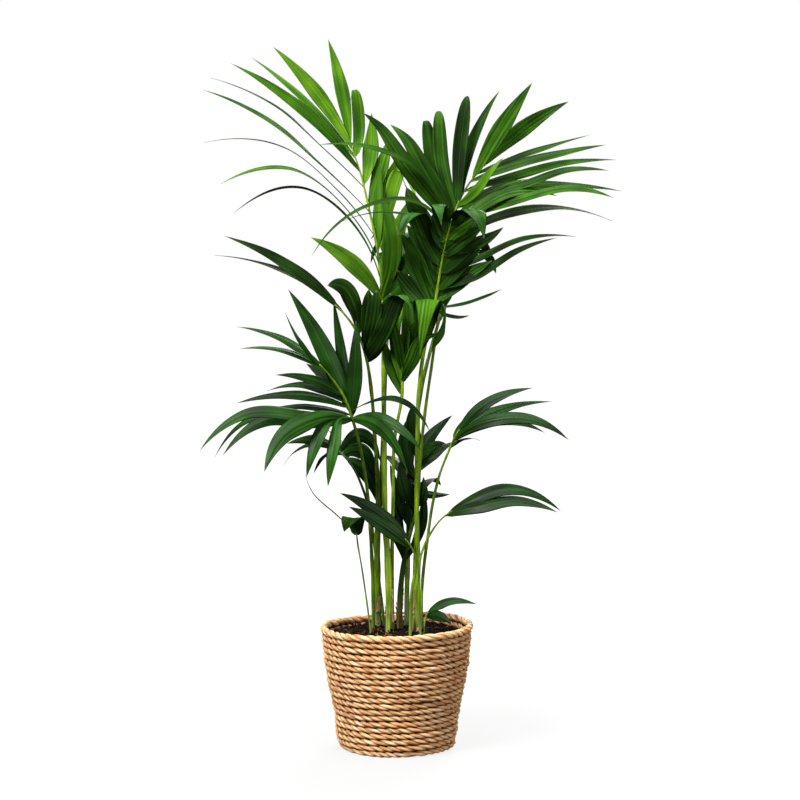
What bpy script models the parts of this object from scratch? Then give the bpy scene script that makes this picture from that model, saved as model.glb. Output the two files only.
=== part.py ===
# Kentia palm in a coiled rope basket, in metres: +Z up, -Y towards the viewer of the front, and the
# origin under the middle of the basket.

import math

import bpy
import numpy as np

CM = 0.01
MM = 0.001

# Where the front is seen from. The tables below give places as this eye sees them on the plane through
# the basket's axis, in cm: x to the right, z up, then the depth behind that plane.
EYE = np.array([0.0057, -4.0, 0.907])

# Basket
ROPE_PITCH = 10.4 * MM
ROPE_ROWS = 19
ROW_GAP_DEPTH = 2.6 * MM
WALL = 9.5 * MM
BASE_THICKNESS = 9.0 * MM
FOOT_RADIUS = 93.0 * MM
BASKET_SIDES = 28
# The outer radius of the wall at heights from the floor up, both in mm.
BASKET_OUTLINE = (
    (4, 98.5),
    (22, 103.5),
    (50, 105.5),
    (75, 109.5),
    (100, 116.0),
    (140, 122.5),
    (180, 126.5),
    (204, 127.8),
)
INSIDE_STEPS = (50 * MM, 100 * MM, 150 * MM)

# Rim rope
RIM_RADIUS = 124.0 * MM
RIM_ROPE = 6.2 * MM
RIM_RING_SIDES = 6
GAP = 0.3 * MM

# Liner and soil, which rises a little from its edge to the middle
LINER = 1.2 * MM
LINER_TOP = 188.0 * MM
SOIL_EDGE = 191.0 * MM
SOIL_TOP = 196.0 * MM
MOUND_RADIUS = 60.0 * MM
MOUND_TOP = 195.5 * MM
HOLE_BOTTOM = 166.0 * MM
FOOT_TOP = 199.5 * MM
HOLE_CUT_TOP = 215.0 * MM

# Stalks: a thick one has 8 sides, a thin one 6.
THICK_STALK = 4.0 * MM
STALK_EXTRA_RINGS = 2
RIB_RINGS = 2

# Leaflets. Each is worked out in 40 fine steps, of which the blade keeps some.
BLADE = 0.7 * MM
EDGE_HALF = 0.4 * MM
FINE_STEPS = 40
PLAIN_RINGS = (0, 9, 19, 29, 40)
BENT_RINGS = (0, 7, 14, 20, 26, 33, 40)
FRONT = (0.0, -1.0, 0.0)

# Leaflets of a frond that leans away, in pairs along its rib, with their upper sides up
FAN_FACE = (0.0, -0.35, 1.0)
FAN_TURNS = (6, 20)
FAN_RIB_END = 0.98
FAN_LEAN = (0.75, 1.55)
FAN_LIFT = (0.10, 0.22)
FAN_DROOP = (0.16, 0.34)
FAN_LENGTH = (0.90, 1.08)

# The linear colour and the roughness of each material.
LOOKS = {
    "rope": ((0.56, 0.34, 0.16), 0.8),
    "plastic": ((0.02, 0.02, 0.02), 0.5),
    "soil": ((0.03, 0.018, 0.012), 0.95),
    "leaf_dark": ((0.03, 0.10, 0.02), 0.45),
    "leaf_light": ((0.10, 0.26, 0.02), 0.45),
}

# Each stalk starts in the soil. Its points are (x, z, depth, radius in mm), and the rib's go on from it.
# Each leaflet is (place along the rib from 0 to 1, width in cm, turn at base, turn at tip, points).
# A turn is in degrees: at 0 the blade faces the front, and at 90 its upper side faces up.
FRONDS = {
    "frond_tall_left": {
        "slot": "leaf_light",
        "foot": (-1.2, -1.1, 6.5),
        "stalk": (
            (-1.4, 30, -1.0, 6.3),
            (-1.9, 38, -0.7, 4.9),
            (-2.1, 52, 0.2, 4.5),
            (-2.2, 66, 1.8, 3.6),
        ),
        "rib": (
            (-2.3, 75.3, 3.2, 2.8),
            (-3.2, 84, 4.2, 2.3),
            (-4.6, 91, 5.2, 1.9),
            (-6.3, 97.9, 6.0, 1.5),
            (-8.0, 102.4, 6.8, 1.1),
        ),
        "leaflets": (
            (0.98, 2.4, 5, 15, ((-9.3, 111.5, 7.5), (-11.4, 119.2, 8))),
            (0.95, 2.6, 10, 25, ((-14.6, 111.8, 5), (-20.5, 117.9, 3))),
            (0.88, 2.2, 50, 70, ((-15.8, 109.5, 9), (-24.2, 116.2, 12))),
            (0.80, 2.8, 30, 60, ((-15.4, 107.2, 2), (-27.6, 115.2, -3))),
            (0.70, 2.4, 105, 68, ((-13, 101.8, 8), (-20, 107.9, 12), (-30.9, 112.8, 16))),
            (0.55, 2.4, 95, 58, ((-13, 98.6, 0), (-22, 106.1, -4), (-32.2, 110.8, -8))),
            (0.40, 2.2, 108, 66, ((-9.8, 94.0, 6), (-19, 101.3, 9), (-32.1, 102.1, 12))),
            (0.22, 2.4, 110, 58, ((-7.2, 89.5, 2), (-18, 97.7, -2), (-29.4, 95.2, -6))),
            (0.10, 2.4, 108, 66, ((-5.6, 86, 5), (-16, 94.5, 10), (-27.2, 90.4, 15))),
            (0.00, 3.0, 15, 20, ((-7.4, 81.9, 1), (-14.4, 86.3, -1))),
            (0.90, 2.8, 5, 10, ((-6.3, 104.5, 9), (-7.1, 110.6, 10.5), (-7.9, 107.5, 14))),
            (0.72, 2.8, 0, 10, ((-4.4, 100, 8), (-4.2, 107, 9))),
            (0.58, 2.6, 0, 0, ((-3.0, 96.5, 7.5), (-0.9, 103.5, 8.5))),
            (0.45, 2.8, 0, 10, ((-2.2, 93, 8.5), (1.0, 101.0, 10))),
            (0.32, 3.2, 10, 0, ((-1.6, 91, 6.5), (0.8, 97.6, 7), (3.4, 92.0, 5))),
            (0.05, 3.6, 0, 10, ((-0.7, 84.5, 1.5), (-2.2, 92.8, 2.0))),
            (0.18, 2.8, 10, 0, ((-0.4, 86.0, 4), (2.4, 93, 6))),
        ),
    },
    "frond_tall_right": {
        "slot": "leaf_dark",
        "foot": (2.7, 1.8, 2.8),
        "stalk": ((3.4, 38.3, 2.0, 2.8), (4.4, 53.6, 2.0, 2.7), (6.2, 67, 1.4, 2.5), (7.4, 76, 1.0, 2.3)),
        "rib": (
            (8.4, 83, 1.0, 2.2),
            (9.2, 88.5, 1.5, 2.0),
            (10.4, 92.2, 2.2, 1.8),
            (12.2, 95.4, 3.0, 1.6),
            (14.3, 98.0, 3.8, 1.3),
            (16.4, 100.0, 4.5, 1.0),
        ),
        "leaflets": (
            (0.38, 2.7, 10, 20, ((6.3, 98, 3.5), (4.8, 105.7, 5.5), (4.4, 101, 9.5))),
            (0.40, 2.6, 5, 10, ((7.5, 99, 3.5), (7.0, 107.3, 5.5), (6.9, 102.5, 9.5))),
            (0.46, 2.6, 5, 10, ((10.6, 101, 3), (11.9, 109.8, 4.5), (12.3, 105.5, 8.5))),
            (0.55, 2.3, 30, 40, ((13.2, 103.5, 4.5), (17.2, 110.7, 5))),
            (0.72, 3.0, 5, 15, ((16.6, 103.0, 2), (22.6, 112.0, 0))),
            (0.86, 2.8, 5, 10, ((21.3, 104.5, 4), (28.7, 108.9, 3))),
            (0.76, 2.2, 55, 72, ((22, 100.2, 6), (32.1, 103.3, 9))),
            (0.68, 2.4, 50, 62, ((22, 98.8, 1), (34.9, 101.7, -2))),
            (0.58, 2.6, 48, 65, ((21, 96.8, 5), (30, 98.9, 7), (36.7, 99.2, 9))),
            (0.48, 2.4, 50, 62, ((21, 94.9, -2), (29, 97.5, -5), (35.4, 97.4, -8))),
            (0.42, 2.8, 42, 70, ((18.5, 94.2, 2), (28, 94.9, 2), (37.6, 94.0, 3))),
            (0.33, 2.6, 52, 66, ((19, 92.0, -4), (29, 94.4, -8), (36.2, 92.9, -12))),
            (0.12, 3.0, 48, 66, ((17, 89.6, 4), (27, 91.2, 8), (36.1, 89.0, 12))),
            (0.55, 1.8, 0, 10, ((15.1, 96.4, -1.5), (17.9, 99.8, -2))),
            (0.30, 3.4, 5, 30, ((3.4, 97.4, -1), (-1.5, 105.0, -2), (-5.4, 106.8, -4))),
            (0.34, 2.8, 10, 10, ((4.2, 98.2, 0.5), (1.6, 102.6, 0.8), (-1.1, 105.1, 2.0))),
            (0.22, 1.8, 70, 84, ((0.5, 99.5, -4), (-5, 101.4, -6), (-13, 101.7, -8))),
        ),
    },
    "frond_front": {
        "slot": "leaf_dark",
        "foot": (3.2, -2.2, 6.5),
        "stalk": (
            (3.5, 33, -2.2, 6.2),
            (3.4, 42, -2.2, 4.6),
            (3.5, 52, -2.4, 4.2),
            (3.9, 62, -3.0, 3.8),
            (4.9, 69, -3.8, 3.3),
        ),
        "rib": (
            (6.3, 74.5, -4.6, 2.8),
            (7.2, 80, -5.5, 2.4),
            (8.0, 84.5, -6.5, 2.0),
            (8.8, 87.5, -8, 1.6),
            (9.2, 89.3, -10, 1.2),
        ),
        "leaflets": (
            (0.55, 3.8, 0, 20, ((4.4, 87.6, -9), (2.6, 90.3, -11), (0.3, 87.0, -14))),
            (0.30, 3.8, 0, 10, ((4.0, 83.6, -8), (1.4, 88.6, -7.5))),
            (0.12, 3.6, 0, 0, ((3.9, 80.3, -7), (1.6, 85.2, -6))),
            (0.75, 3.0, 5, 30, ((7.3, 90.2, -11), (7.1, 91.8, -13), (7.5, 88.3, -16))),
            (0.92, 3.4, 0, 20, ((11.3, 90.9, -12.5), (13.2, 90.3, -14.5), (14.7, 86.1, -17))),
            (0.42, 3.8, 0, 5, ((5.0, 85.6, -10), (3.4, 89.6, -10))),
            (0.60, 3.8, 20, 30, ((13, 85.3, -6), (18.0, 88.2, -6))),
            (0.35, 2.8, 40, 62, ((13.8, 82.6, -4), (21.5, 86.0, -5), (30.0, 86.4, -6))),
            (0.20, 3.0, 38, 52, ((13.3, 80.1, -8), (20, 84.4, -10), (26.8, 86.2, -13))),
            (0.08, 3.6, 15, 30, ((11.2, 78.3, -7), (16.4, 81.8, -9))),
            (0.00, 1.6, 40, 60, ((11.5, 75.2, -5), (17.5, 77.6, -4))),
            (0.00, 1.8, 30, 50, ((9.8, 72.6, -5), (12.2, 73.2, -6))),
            (0.02, 2.8, 10, 40, ((8.6, 74.0, -6.5), (9.0, 71, -8), (6.6, 67.3, -8.5))),
            (0.80, 2.4, 60, 70, ((2.5, 92.4, -6), (-5.0, 91.4, -7), (-14.2, 83.2, -9))),
            (0.70, 2.2, 60, 75, ((2.0, 89.8, -5), (-9.3, 88.9, -3))),
        ),
    },
    "frond_mid_left": {
        "slot": "leaf_dark",
        "foot": (-3.3, 3.8, 6.0),
        "stalk": ((-3.3, 33, 3.4, 5.6), (-3.2, 45, 1.8, 3.6), (-3.7, 53, 0, 3.2), (-4.2, 60, -1.5, 3.0)),
        "rib": (
            (-5.1, 66, -3.0, 2.6),
            (-6.4, 70, -4.0, 2.2),
            (-8.4, 73, -4.8, 1.8),
            (-10.3, 75, -5.4, 1.2),
        ),
        "leaflets": (
            (0.95, 2.6, 30, 60, ((-18.5, 81.6, -6), (-28.8, 86.5, -8))),
            (0.80, 2.2, 55, 75, ((-18.5, 80.3, -1), (-30.5, 83.3, 2))),
            (0.40, 3.6, 10, 60, ((-7.3, 75.2, -5), (-9.2, 78.0, -6.5), (-11.6, 78.2, -8))),
            (0.10, 3.8, 0, 10, ((-3.9, 71.5, -6), (-3.0, 77.2, -7))),
            (0.02, 4.2, 0, 20, ((-1.9, 70.6, -7.5), (1.0, 76.4, -8.5), (2.7, 74.6, -10))),
        ),
    },
    "frond_low_left": {
        "slot": "leaf_dark",
        "foot": (-4.0, 1.9, 3.0),
        "stalk": ((-4.3, 34, 1.0, 3.0), (-5.2, 45.5, -1, 2.8), (-6.6, 52.8, -3.2, 2.6)),
        "rib": (
            (-7.4, 55.6, -4.2, 2.6),
            (-8.6, 59, -5.2, 2.2),
            (-10.8, 62.5, -6.4, 1.7),
            (-13, 65, -7.4, 1.1),
        ),
        "leaflets": (
            (0.15, 3.2, 10, 20, ((-12.9, 69.0, -5), (-18.2, 77.6, -4))),
            (0.10, 2.0, 10, 25, ((-9.3, 67, -3), (-10.6, 76.0, -1))),
            (0.05, 2.6, 5, 15, ((-7.0, 64.5, -6), (-6.8, 72.3, -5))),
            (0.90, 2.2, 50, 65, ((-18.5, 69.0, -6), (-26.8, 71.3, -4))),
            (0.80, 1.8, 68, 80, ((-18.5, 67.2, -10), (-26.3, 67.6, -13))),
            (0.98, 1.6, 60, 70, ((-15.8, 68.3, -9), (-18.7, 73.7, -10))),
            (0.45, 2.4, 30, 30, ((-12.3, 63.2, -3), (-15.2, 65.1, -1))),
            (0.40, 2.2, 45, 70, ((-14.5, 62.6, -8.5), (-20.4, 63.2, -10))),
            (0.28, 2.2, 45, 70, ((-15.5, 61.6, -5), (-21.8, 60.5, -4))),
            (0.20, 2.2, 55, 70, ((-17.5, 59.9, -10), (-27.0, 58.4, -13))),
            (0.08, 2.0, 60, 75, ((-15.5, 57.9, -7), (-23.0, 57.1, -8))),
            (0.03, 2.8, 40, 50, ((-15, 56.3, -11), (-25.5, 56.6, -14), (-33.2, 50.4, -17))),
            (0.02, 2.2, 50, 55, ((-14.5, 55.8, -3), (-24.5, 55.9, -2), (-30.7, 49.2, -1))),
            (0.00, 2.8, 35, 45, ((-14, 55.4, -7), (-22, 55.6, -9.5), (-29.3, 49.6, -12))),
            (0.00, 3.2, 35, 15, ((-14.0, 55.9, -12), (-19.3, 52.8, -16), (-22.3, 46.8, -19))),
            (0.00, 2.2, 30, 10, ((-11.2, 55.8, -9), (-13.7, 51.5, -13), (-15.2, 45.9, -14))),
            (0.00, 2.2, 30, 5, ((-9.6, 55.6, -8), (-10.6, 51.5, -11.5), (-11.6, 44.3, -12.5))),
            (0.12, 1.9, 50, 50, ((-1.0, 59.5, -7), (5.6, 53.6, -8))),
            (0.03, 2.1, 45, 40, ((-1.8, 55.5, -9), (4.3, 50.3, -12))),
            (0.00, 2.5, 40, 20, ((-2.6, 54.2, -11), (1.9, 46.6, -15))),
        ),
    },
    "frond_low_right": {
        "slot": "leaf_dark",
        "foot": (4.2, 0.9, 2.8),
        "stalk": (
            (4.3, 27, 0.3, 2.8),
            (5.3, 36, -1.4, 2.6),
            (6.2, 42, -2.8, 2.4),
            (7.3, 46.5, -3.8, 2.2),
        ),
        "rib": ((8.8, 50.4, -4.5, 2.0), (9.6, 52.3, -5, 1.6), (10.6, 54, -5.5, 1.1)),
        "leaflets": (
            (0.90, 2.0, 20, 50, ((14.2, 57.8, -6.5), (22.9, 61.0, -7.5))),
            (0.80, 2.0, 25, 50, ((16.2, 57.0, -3), (26.1, 58.7, -1))),
            (0.50, 2.3, 42, 45, ((15, 55.3, -8), (22.5, 55.8, -10), (29.0, 52.2, -12))),
            (0.40, 2.0, 55, 50, ((14.5, 54.8, -5), (20, 55.3, -5.5), (25.0, 53.4, -6))),
            (0.10, 1.6, 60, 70, ((11.5, 52.5, -3), (14.1, 52.1, -2))),
            (0.55, 2.4, 40, 60, ((13.0, 56.6, 2), (19.0, 58.0, 9))),
        ),
    },
    "frond_young": {
        "slot": "leaf_light",
        "foot": (-0.7, 0.9, 3.2),
        "stalk": ((-0.75, 34, 0.6, 3.2), (-0.6, 42, -0.2, 3.0), (-0.3, 52.8, -1.2, 2.8)),
        "rib": ((0.9, 59.8, -2.0, 2.6), (1.0, 62, -2.3, 2.3), (1.2, 64.5, -2.6, 1.8), (1.6, 67, -3, 1.2)),
        "leaflets": (
            (0.10, 3.0, 5, 15, ((-0.6, 64.8, -2.5), (-2.4, 69.5, -3))),
            (0.90, 1.8, 0, 10, ((1.5, 69.5, -4), (1.4, 73.4, -4.5))),
            (0.60, 2.8, 5, 10, ((0.2, 68.5, -4.5), (-0.6, 73, -5.5))),
            (0.30, 3.0, 5, 10, ((2.6, 66, -5), (4.2, 70.5, -6.5))),
            (0.50, 4.6, 0, 0, ((4.3, 69.5, -6), (5.5, 75.4, -8.5), (5.0, 71, -10.5), (4.0, 66.2, -11.2))),
        ),
    },
    "frond_shade_left": {
        "slot": "leaf_dark",
        "foot": (-2.2, 5.8, 2.6),
        "stalk": ((-3.6, 33, 6.5, 2.5), (-5.2, 42.5, 6.5, 2.3)),
        "rib": ((-8.2, 48.8, 7, 2.0), (-9.6, 50.2, 8, 1.6), (-11, 51, 9.5, 1.1)),
        "leaflets": (
            (0.90, 2.4, 60, 55, ((-15.2, 51.4, 12), (-19.0, 48.0, 15))),
            (0.60, 2.2, 60, 60, ((-13.5, 52.2, 5), (-18.5, 51.6, 3))),
            (0.30, 2.6, 40, 40, ((-11.5, 50.2, 14), (-14.0, 46.5, 20))),
            (0.20, 2.4, 40, 50, ((-9.5, 52.0, 12), (-12, 54, 19))),
            (0.05, 2.4, 40, 50, ((-7.5, 51.5, 13), (-6.0, 51, 21))),
        ),
    },
    "frond_shade_right": {
        "slot": "leaf_dark",
        "foot": (0.6, 3.2, 5.0),
        "stalk": ((1.0, 30, 3.4, 4.4), (2.2, 36, 3.6, 3.2)),
        "rib": ((3.2, 40, 4.0, 2.6), (3.4, 43.5, 4.5, 2.2), (3.4, 47.5, 5.5, 1.7), (3.2, 50.5, 7, 1.1)),
        "leaflets": (
            (0.90, 2.8, 0, 10, ((2.6, 54.5, 7), (2.6, 58.2, 7))),
            (0.85, 2.2, 20, 30, ((5.8, 53, 8), (9.4, 56.4, 10))),
            (0.75, 2.2, 50, 50, ((5.6, 51.0, 5), (8.3, 51.6, 3))),
            (0.63, 2.2, 40, 45, ((6.0, 49.6, 7), (10.0, 52.0, 11))),
            (0.30, 2.6, 40, 50, ((5.6, 43, 6), (9.0, 43.0, 8))),
            (0.50, 3.2, 0, 10, ((1.2, 50, 4), (1.2, 54.5, 4))),
            (0.10, 3.4, 0, 10, ((4.2, 42.5, 2.5), (4.5, 46, 3))),
            (0.05, 3.2, 10, 20, ((1.4, 43.5, 2.5), (0.6, 48.5, 2))),
            (0.40, 2.8, 40, 40, ((0.2, 48.5, 10), (-2, 49.5, 17))),
            (0.20, 2.8, 40, 40, ((5.2, 45.5, 11), (7.5, 44.5, 18))),
        ),
    },
    "leaf_split_right": {
        "slot": "leaf_dark",
        "foot": (4.0, -4.0, 2.2),
        "stalk": ((3.8, 28, -3.9, 2.1), (4.1, 32.5, -3.8, 2.0), (5.6, 36.1, -4.2, 1.8)),
        "rib": ((8.0, 39.2, -5, 1.5), (9.5, 40.2, -5.3, 1.2)),
        "leaflets": (
            (0.50, 2.6, 42, 55, ((13.2, 42.3, -6), (18.3, 43.9, -7), (27.8, 40.1, -9))),
            (0.20, 2.7, 42, 55, ((14, 41.0, -7.5), (20, 41.9, -8.5), (27.2, 39.9, -10.5))),
        ),
    },
    "leaf_split_left": {
        "slot": "leaf_dark",
        "foot": (2.3, -3.8, 2.4),
        "stalk": ((2.6, 27, -3.9, 2.3),),
        "rib": ((3.3, 32.2, -4.1, 2.0), (2.6, 33.8, -4.4, 1.7), (1.4, 35.5, -4.7, 1.3)),
        "leaflets": (
            (0.70, 2.6, 20, 30, ((-2.8, 39.6, -5.5), (-9.6, 43.2, -7))),
            (0.50, 2.6, 20, 30, ((-2.5, 37.9, -6.2), (-8.1, 40.9, -8))),
        ),
    },
    "leaf_bent_left": {
        "slot": "leaf_dark",
        "foot": (-4.4, -2.2, 1.6),
        "stalk": ((-5.1, 25, -2.4, 1.5), (-5.9, 30.5, -2.7, 1.4)),
        "rib": ((-6.7, 35.5, -3.0, 1.3), (-6.8, 36.6, -3.1, 1.0)),
        "leaflets": (
            (0.50, 3.0, 5, 30, ((-7.2, 37.8, -3.6), (-9.3, 37.4, -5))),
            (0.90, 0.3, 60, 60, ((-10.2, 39.6, -2.4), (-14.4, 43.7, -2.2), (-15.4, 46.4, -2))),
        ),
    },
    "leaf_base_right": {
        "slot": "leaf_dark",
        "foot": (4.7, -1.4, 1.6),
        "stalk": (),
        "rib": ((4.9, 22.0, -1.8, 1.4), (5.3, 22.9, -2.1, 1.1)),
        "leaflets": (
            (0.90, 2.2, 50, 60, ((8.6, 24.7, -3), (13.6, 24.2, -4))),
            (0.30, 2.0, 20, 30, ((7.2, 22.3, -3.6), (9.3, 20.9, -5))),
        ),
    },
    "frond_back_left": {
        "slot": "leaf_dark",
        "foot": (-3.5, 6.3, 4.0),
        "stalk": ((-3.2, 33, 7.4, 3.8), (-2.5, 48, 9, 3.6), (-2.0, 60, 11, 3.2)),
        "rib": (
            (-1.6, 69, 13.5, 2.8),
            (-0.9, 77, 17.5, 2.4),
            (-0.6, 82.5, 22.5, 2.0),
            (-0.6, 85, 28, 1.6),
            (-0.8, 84.8, 33, 1.1),
        ),
        "fan": {"pairs": 5, "length": 13.5, "width": 3.0, "seed": 5},
    },
    "frond_back_right": {
        "slot": "leaf_dark",
        "foot": (1.7, 5.4, 4.5),
        "stalk": ((1.9, 33, 7.5, 4.2), (2.7, 50, 10, 3.8), (4.6, 63, 11.5, 3.4)),
        "rib": (
            (7.0, 72, 13, 2.8),
            (8.8, 79, 16.5, 2.4),
            (10.2, 83, 21, 2.0),
            (11.4, 84.6, 26.5, 1.6),
            (12.4, 84, 31.5, 1.1),
        ),
        "fan": {"pairs": 5, "length": 15, "width": 3.0, "seed": 8},
    },
}


def seen(points):
    """Turns rows of (x, z, depth) in cm, as the eye sees them, into world points."""
    rows = np.array(points, float)
    flat = np.stack([rows[:, 0] * CM, np.zeros(len(rows)), rows[:, 1] * CM], 1)
    reach = 1 + rows[:, 2:3] * CM / -EYE[1]
    return EYE + (flat - EYE) * reach


def unit(vectors):
    return vectors / np.linalg.norm(vectors, axis=-1, keepdims=True)


def smooth(points, shares):
    """A smooth curve through the points, read at shares of its length: a cubic between each two."""
    points = np.asarray(points, float)
    steps = np.linalg.norm(np.diff(points[:, :3], axis=0), axis=1)
    at = np.concatenate([[0], np.cumsum(steps)])
    slopes = np.gradient(points, at, axis=0, edge_order=2 if len(points) > 2 else 1)
    where = np.asarray(shares, float) * at[-1]
    first = np.clip(np.searchsorted(at, where, side="right") - 1, 0, len(at) - 2)
    span = (at[first + 1] - at[first])[:, None]
    t = (where[:, None] - at[first][:, None]) / span
    start, end = points[first], points[first + 1]
    leave, arrive = slopes[first] * span, slopes[first + 1] * span
    return (
        start * (1 + 2 * t) * (1 - t) ** 2
        + leave * t * (1 - t) ** 2
        + end * t**2 * (3 - 2 * t)
        + arrive * t**2 * (t - 1)
    )


def carried(first, tangents):
    """Carries a vector along a curve without twisting it, square to each tangent."""
    vectors = []
    vector = np.asarray(first, float)
    for tangent in tangents:
        vector = unit(vector - vector @ tangent * tangent)
        vectors.append(vector)
    return np.array(vectors)


def stalk_points(frond):
    """Stalk and rib as rows of x, y, z and radius in metres, from the soil to the end of the rib."""
    x, depth, radius = frond["foot"]
    rows = np.array(frond["stalk"] + frond["rib"], float)
    world = np.column_stack([seen(rows[:, :3]), rows[:, 3] * MM])
    foot = (x * CM, depth * CM, FOOT_TOP, radius * MM)
    return np.vstack([foot, world])


def share_of_rib(frond, along):
    """The share of the whole stalk's length at a place along the rib."""
    points = stalk_points(frond)
    at = np.concatenate([[0], np.cumsum(np.linalg.norm(np.diff(points[:, :3], axis=0), axis=1))])
    start = at[1 + len(frond["stalk"])] / at[-1]
    return start + (1 - start) * np.asarray(along, float)


def fan_leaflets(frond):
    """Leaflets left and right by turns along the rib, the longest past its middle, falling to their tips."""
    fan = frond["fan"]
    draw = np.random.default_rng(fan["seed"])
    leaflets = []
    for place in range(2 * fan["pairs"]):
        side = 1 if place % 2 else -1
        share = place / (2 * fan["pairs"] - 1)
        whole = share_of_rib(frond, FAN_RIB_END * share)
        near = smooth(stalk_points(frond)[:, :3], [whole - 0.01, whole])
        forward = unit(near[1] - near[0])
        lean = FAN_LEAN[0] + (FAN_LEAN[1] - FAN_LEAN[0]) * share
        across = unit(np.cross(forward, (0, 0, 1)) * side + forward * lean)
        length = fan["length"] * CM * (0.72 + 0.7 * share * (1.25 - share)) * draw.uniform(*FAN_LENGTH)
        lift = np.array([0, 0, draw.uniform(*FAN_LIFT)])
        droop = np.array([0, 0, draw.uniform(*FAN_DROOP)])
        middle = near[1] + length * (0.5 * across + 0.5 * lift)
        tip = near[1] + length * (0.96 * across - droop)
        leaflet = {"along": FAN_RIB_END * share, "width": fan["width"] * CM, "face": FAN_FACE}
        leaflet["turns"] = (side * FAN_TURNS[0], side * FAN_TURNS[1])
        leaflet["through"] = (middle, tip)
        leaflets.append(leaflet)
    return leaflets


def table_leaflets(frond):
    leaflets = []
    for along, width, base, tip, points in frond["leaflets"]:
        leaflet = {"along": along, "width": width * CM, "face": FRONT}
        leaflet["turns"] = (base, tip)
        leaflet["through"] = seen(points)
        leaflets.append(leaflet)
    return leaflets


def leaflets_of(frond):
    return fan_leaflets(frond) if "fan" in frond else table_leaflets(frond)


def blade_line(frond, leaflet):
    """The centre points, sides, normals and half widths of one leaflet from its base to its tip."""
    base = smooth(stalk_points(frond)[:, :3], [share_of_rib(frond, leaflet["along"])])
    shares = np.linspace(0, 1, FINE_STEPS + 1)
    middle = smooth(np.vstack([base, leaflet["through"]]), shares)
    tangents = unit(np.gradient(middle, axis=0))
    flat = carried(leaflet["face"], tangents)
    hand = 1 if middle[-1, 0] < middle[0, 0] else -1
    upward = hand * np.cross(tangents, flat)
    turn = np.radians(leaflet["turns"][0] + (leaflet["turns"][1] - leaflet["turns"][0]) * shares)[:, None]
    normals = flat * np.cos(turn) + upward * np.sin(turn)
    sides = np.cross(tangents, normals)
    outline = 0.97 * np.sin(math.pi * shares**0.92) ** 0.85 + 0.09 * (1 - shares)
    half = leaflet["width"] / 2 * outline + EDGE_HALF
    return middle, sides, normals, half


def add_mesh(name, points, faces):
    mesh = bpy.data.meshes.new(name)
    mesh.from_pydata([tuple(p) for p in points], [], [tuple(int(i) for i in face) for face in faces])
    mesh.update()
    return bpy.data.objects.new(name, mesh)


def blade_solid(name, frond, leaflet):
    """A thin blade with four corners at each step, both faces split along the same diagonals."""
    middle, sides, normals, half = blade_line(frond, leaflet)
    steps = PLAIN_RINGS if len(leaflet["through"]) < 3 else BENT_RINGS
    points = []
    for k in steps:
        for across, out in ((-1, 1), (1, 1), (1, -1), (-1, -1)):
            points.append(middle[k] + sides[k] * across * half[k] + normals[k] * out * BLADE / 2)
    faces = []
    for ring in range(len(steps) - 1):
        a = 4 * ring
        b = a + 4
        faces += [(a, a + 1, b + 1), (a, b + 1, b)]
        faces += [(a + 1, a + 2, b + 2), (a + 1, b + 2, b + 1)]
        faces += [(a + 2, a + 3, b + 2), (a + 3, b + 3, b + 2)]
        faces += [(a + 3, a, b), (a + 3, b, b + 3)]
    last = 4 * (len(steps) - 1)
    faces += [(0, 2, 1), (0, 3, 2), (last, last + 1, last + 2), (last, last + 2, last + 3)]
    return add_mesh(name, points, faces)


def stalk_sides(frond):
    return 8 if frond["foot"][2] * MM >= THICK_STALK else 6


def stalk_solid(name, frond):
    """The stalk and rib as one tube: straight in its hole, then along its curve."""
    sides = stalk_sides(frond)
    line = stalk_points(frond)
    start = share_of_rib(frond, 0)
    below = np.linspace(0, start, len(frond["stalk"]) + STALK_EXTRA_RINGS)
    above = np.linspace(start, 1, RIB_RINGS * (len(frond["rib"]) - 1) + 1)
    rows = smooth(line, np.concatenate([below, above[1:]]))
    tangents = unit(np.gradient(rows[:, :3], axis=0))
    tangents[0] = (0, 0, 1)
    right = carried((1, 0, 0), tangents)
    front = np.cross(tangents, right)
    bottom = rows[0].copy()
    bottom[2] = HOLE_BOTTOM + GAP
    rows = np.vstack([bottom, rows])
    right = np.vstack([right[0], right])
    front = np.vstack([front[0], front])
    angles = (np.arange(sides) * 2 * math.pi / sides)[None, :, None]
    circle = np.cos(angles) * right[:, None, :] + np.sin(angles) * front[:, None, :]
    points = rows[:, None, :3] + circle * rows[:, None, 3:4]
    faces = []
    for ring in range(len(rows) - 1):
        for k in range(sides):
            a = ring * sides + k
            b = ring * sides + (k + 1) % sides
            faces += [(a, b, b + sides), (a, b + sides, a + sides)]
    end = (len(rows) - 1) * sides
    faces.append(tuple(range(sides - 1, -1, -1)))
    faces.append(tuple(range(end, end + sides)))
    return add_mesh(name, points.reshape(-1, 3), faces)


def material_named(slot):
    material = bpy.data.materials.get(slot)
    if material is None:
        material = bpy.data.materials.new(slot)
        material.use_nodes = True
        colour, roughness = LOOKS[slot]
        shader = material.node_tree.nodes["Principled BSDF"]
        shader.inputs["Base Color"].default_value = (*colour, 1)
        shader.inputs["Roughness"].default_value = roughness
    return material


def finish_node(obj, slot):
    if obj.name not in bpy.context.scene.collection.objects:
        bpy.context.scene.collection.objects.link(obj)
    obj.data.materials.clear()
    obj.data.materials.append(material_named(slot))
    obj.data.shade_smooth()


def apply_modifiers(obj):
    graph = bpy.context.evaluated_depsgraph_get()
    mesh = bpy.data.meshes.new_from_object(obj.evaluated_get(graph))
    obj.modifiers.clear()
    obj.data = mesh


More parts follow.
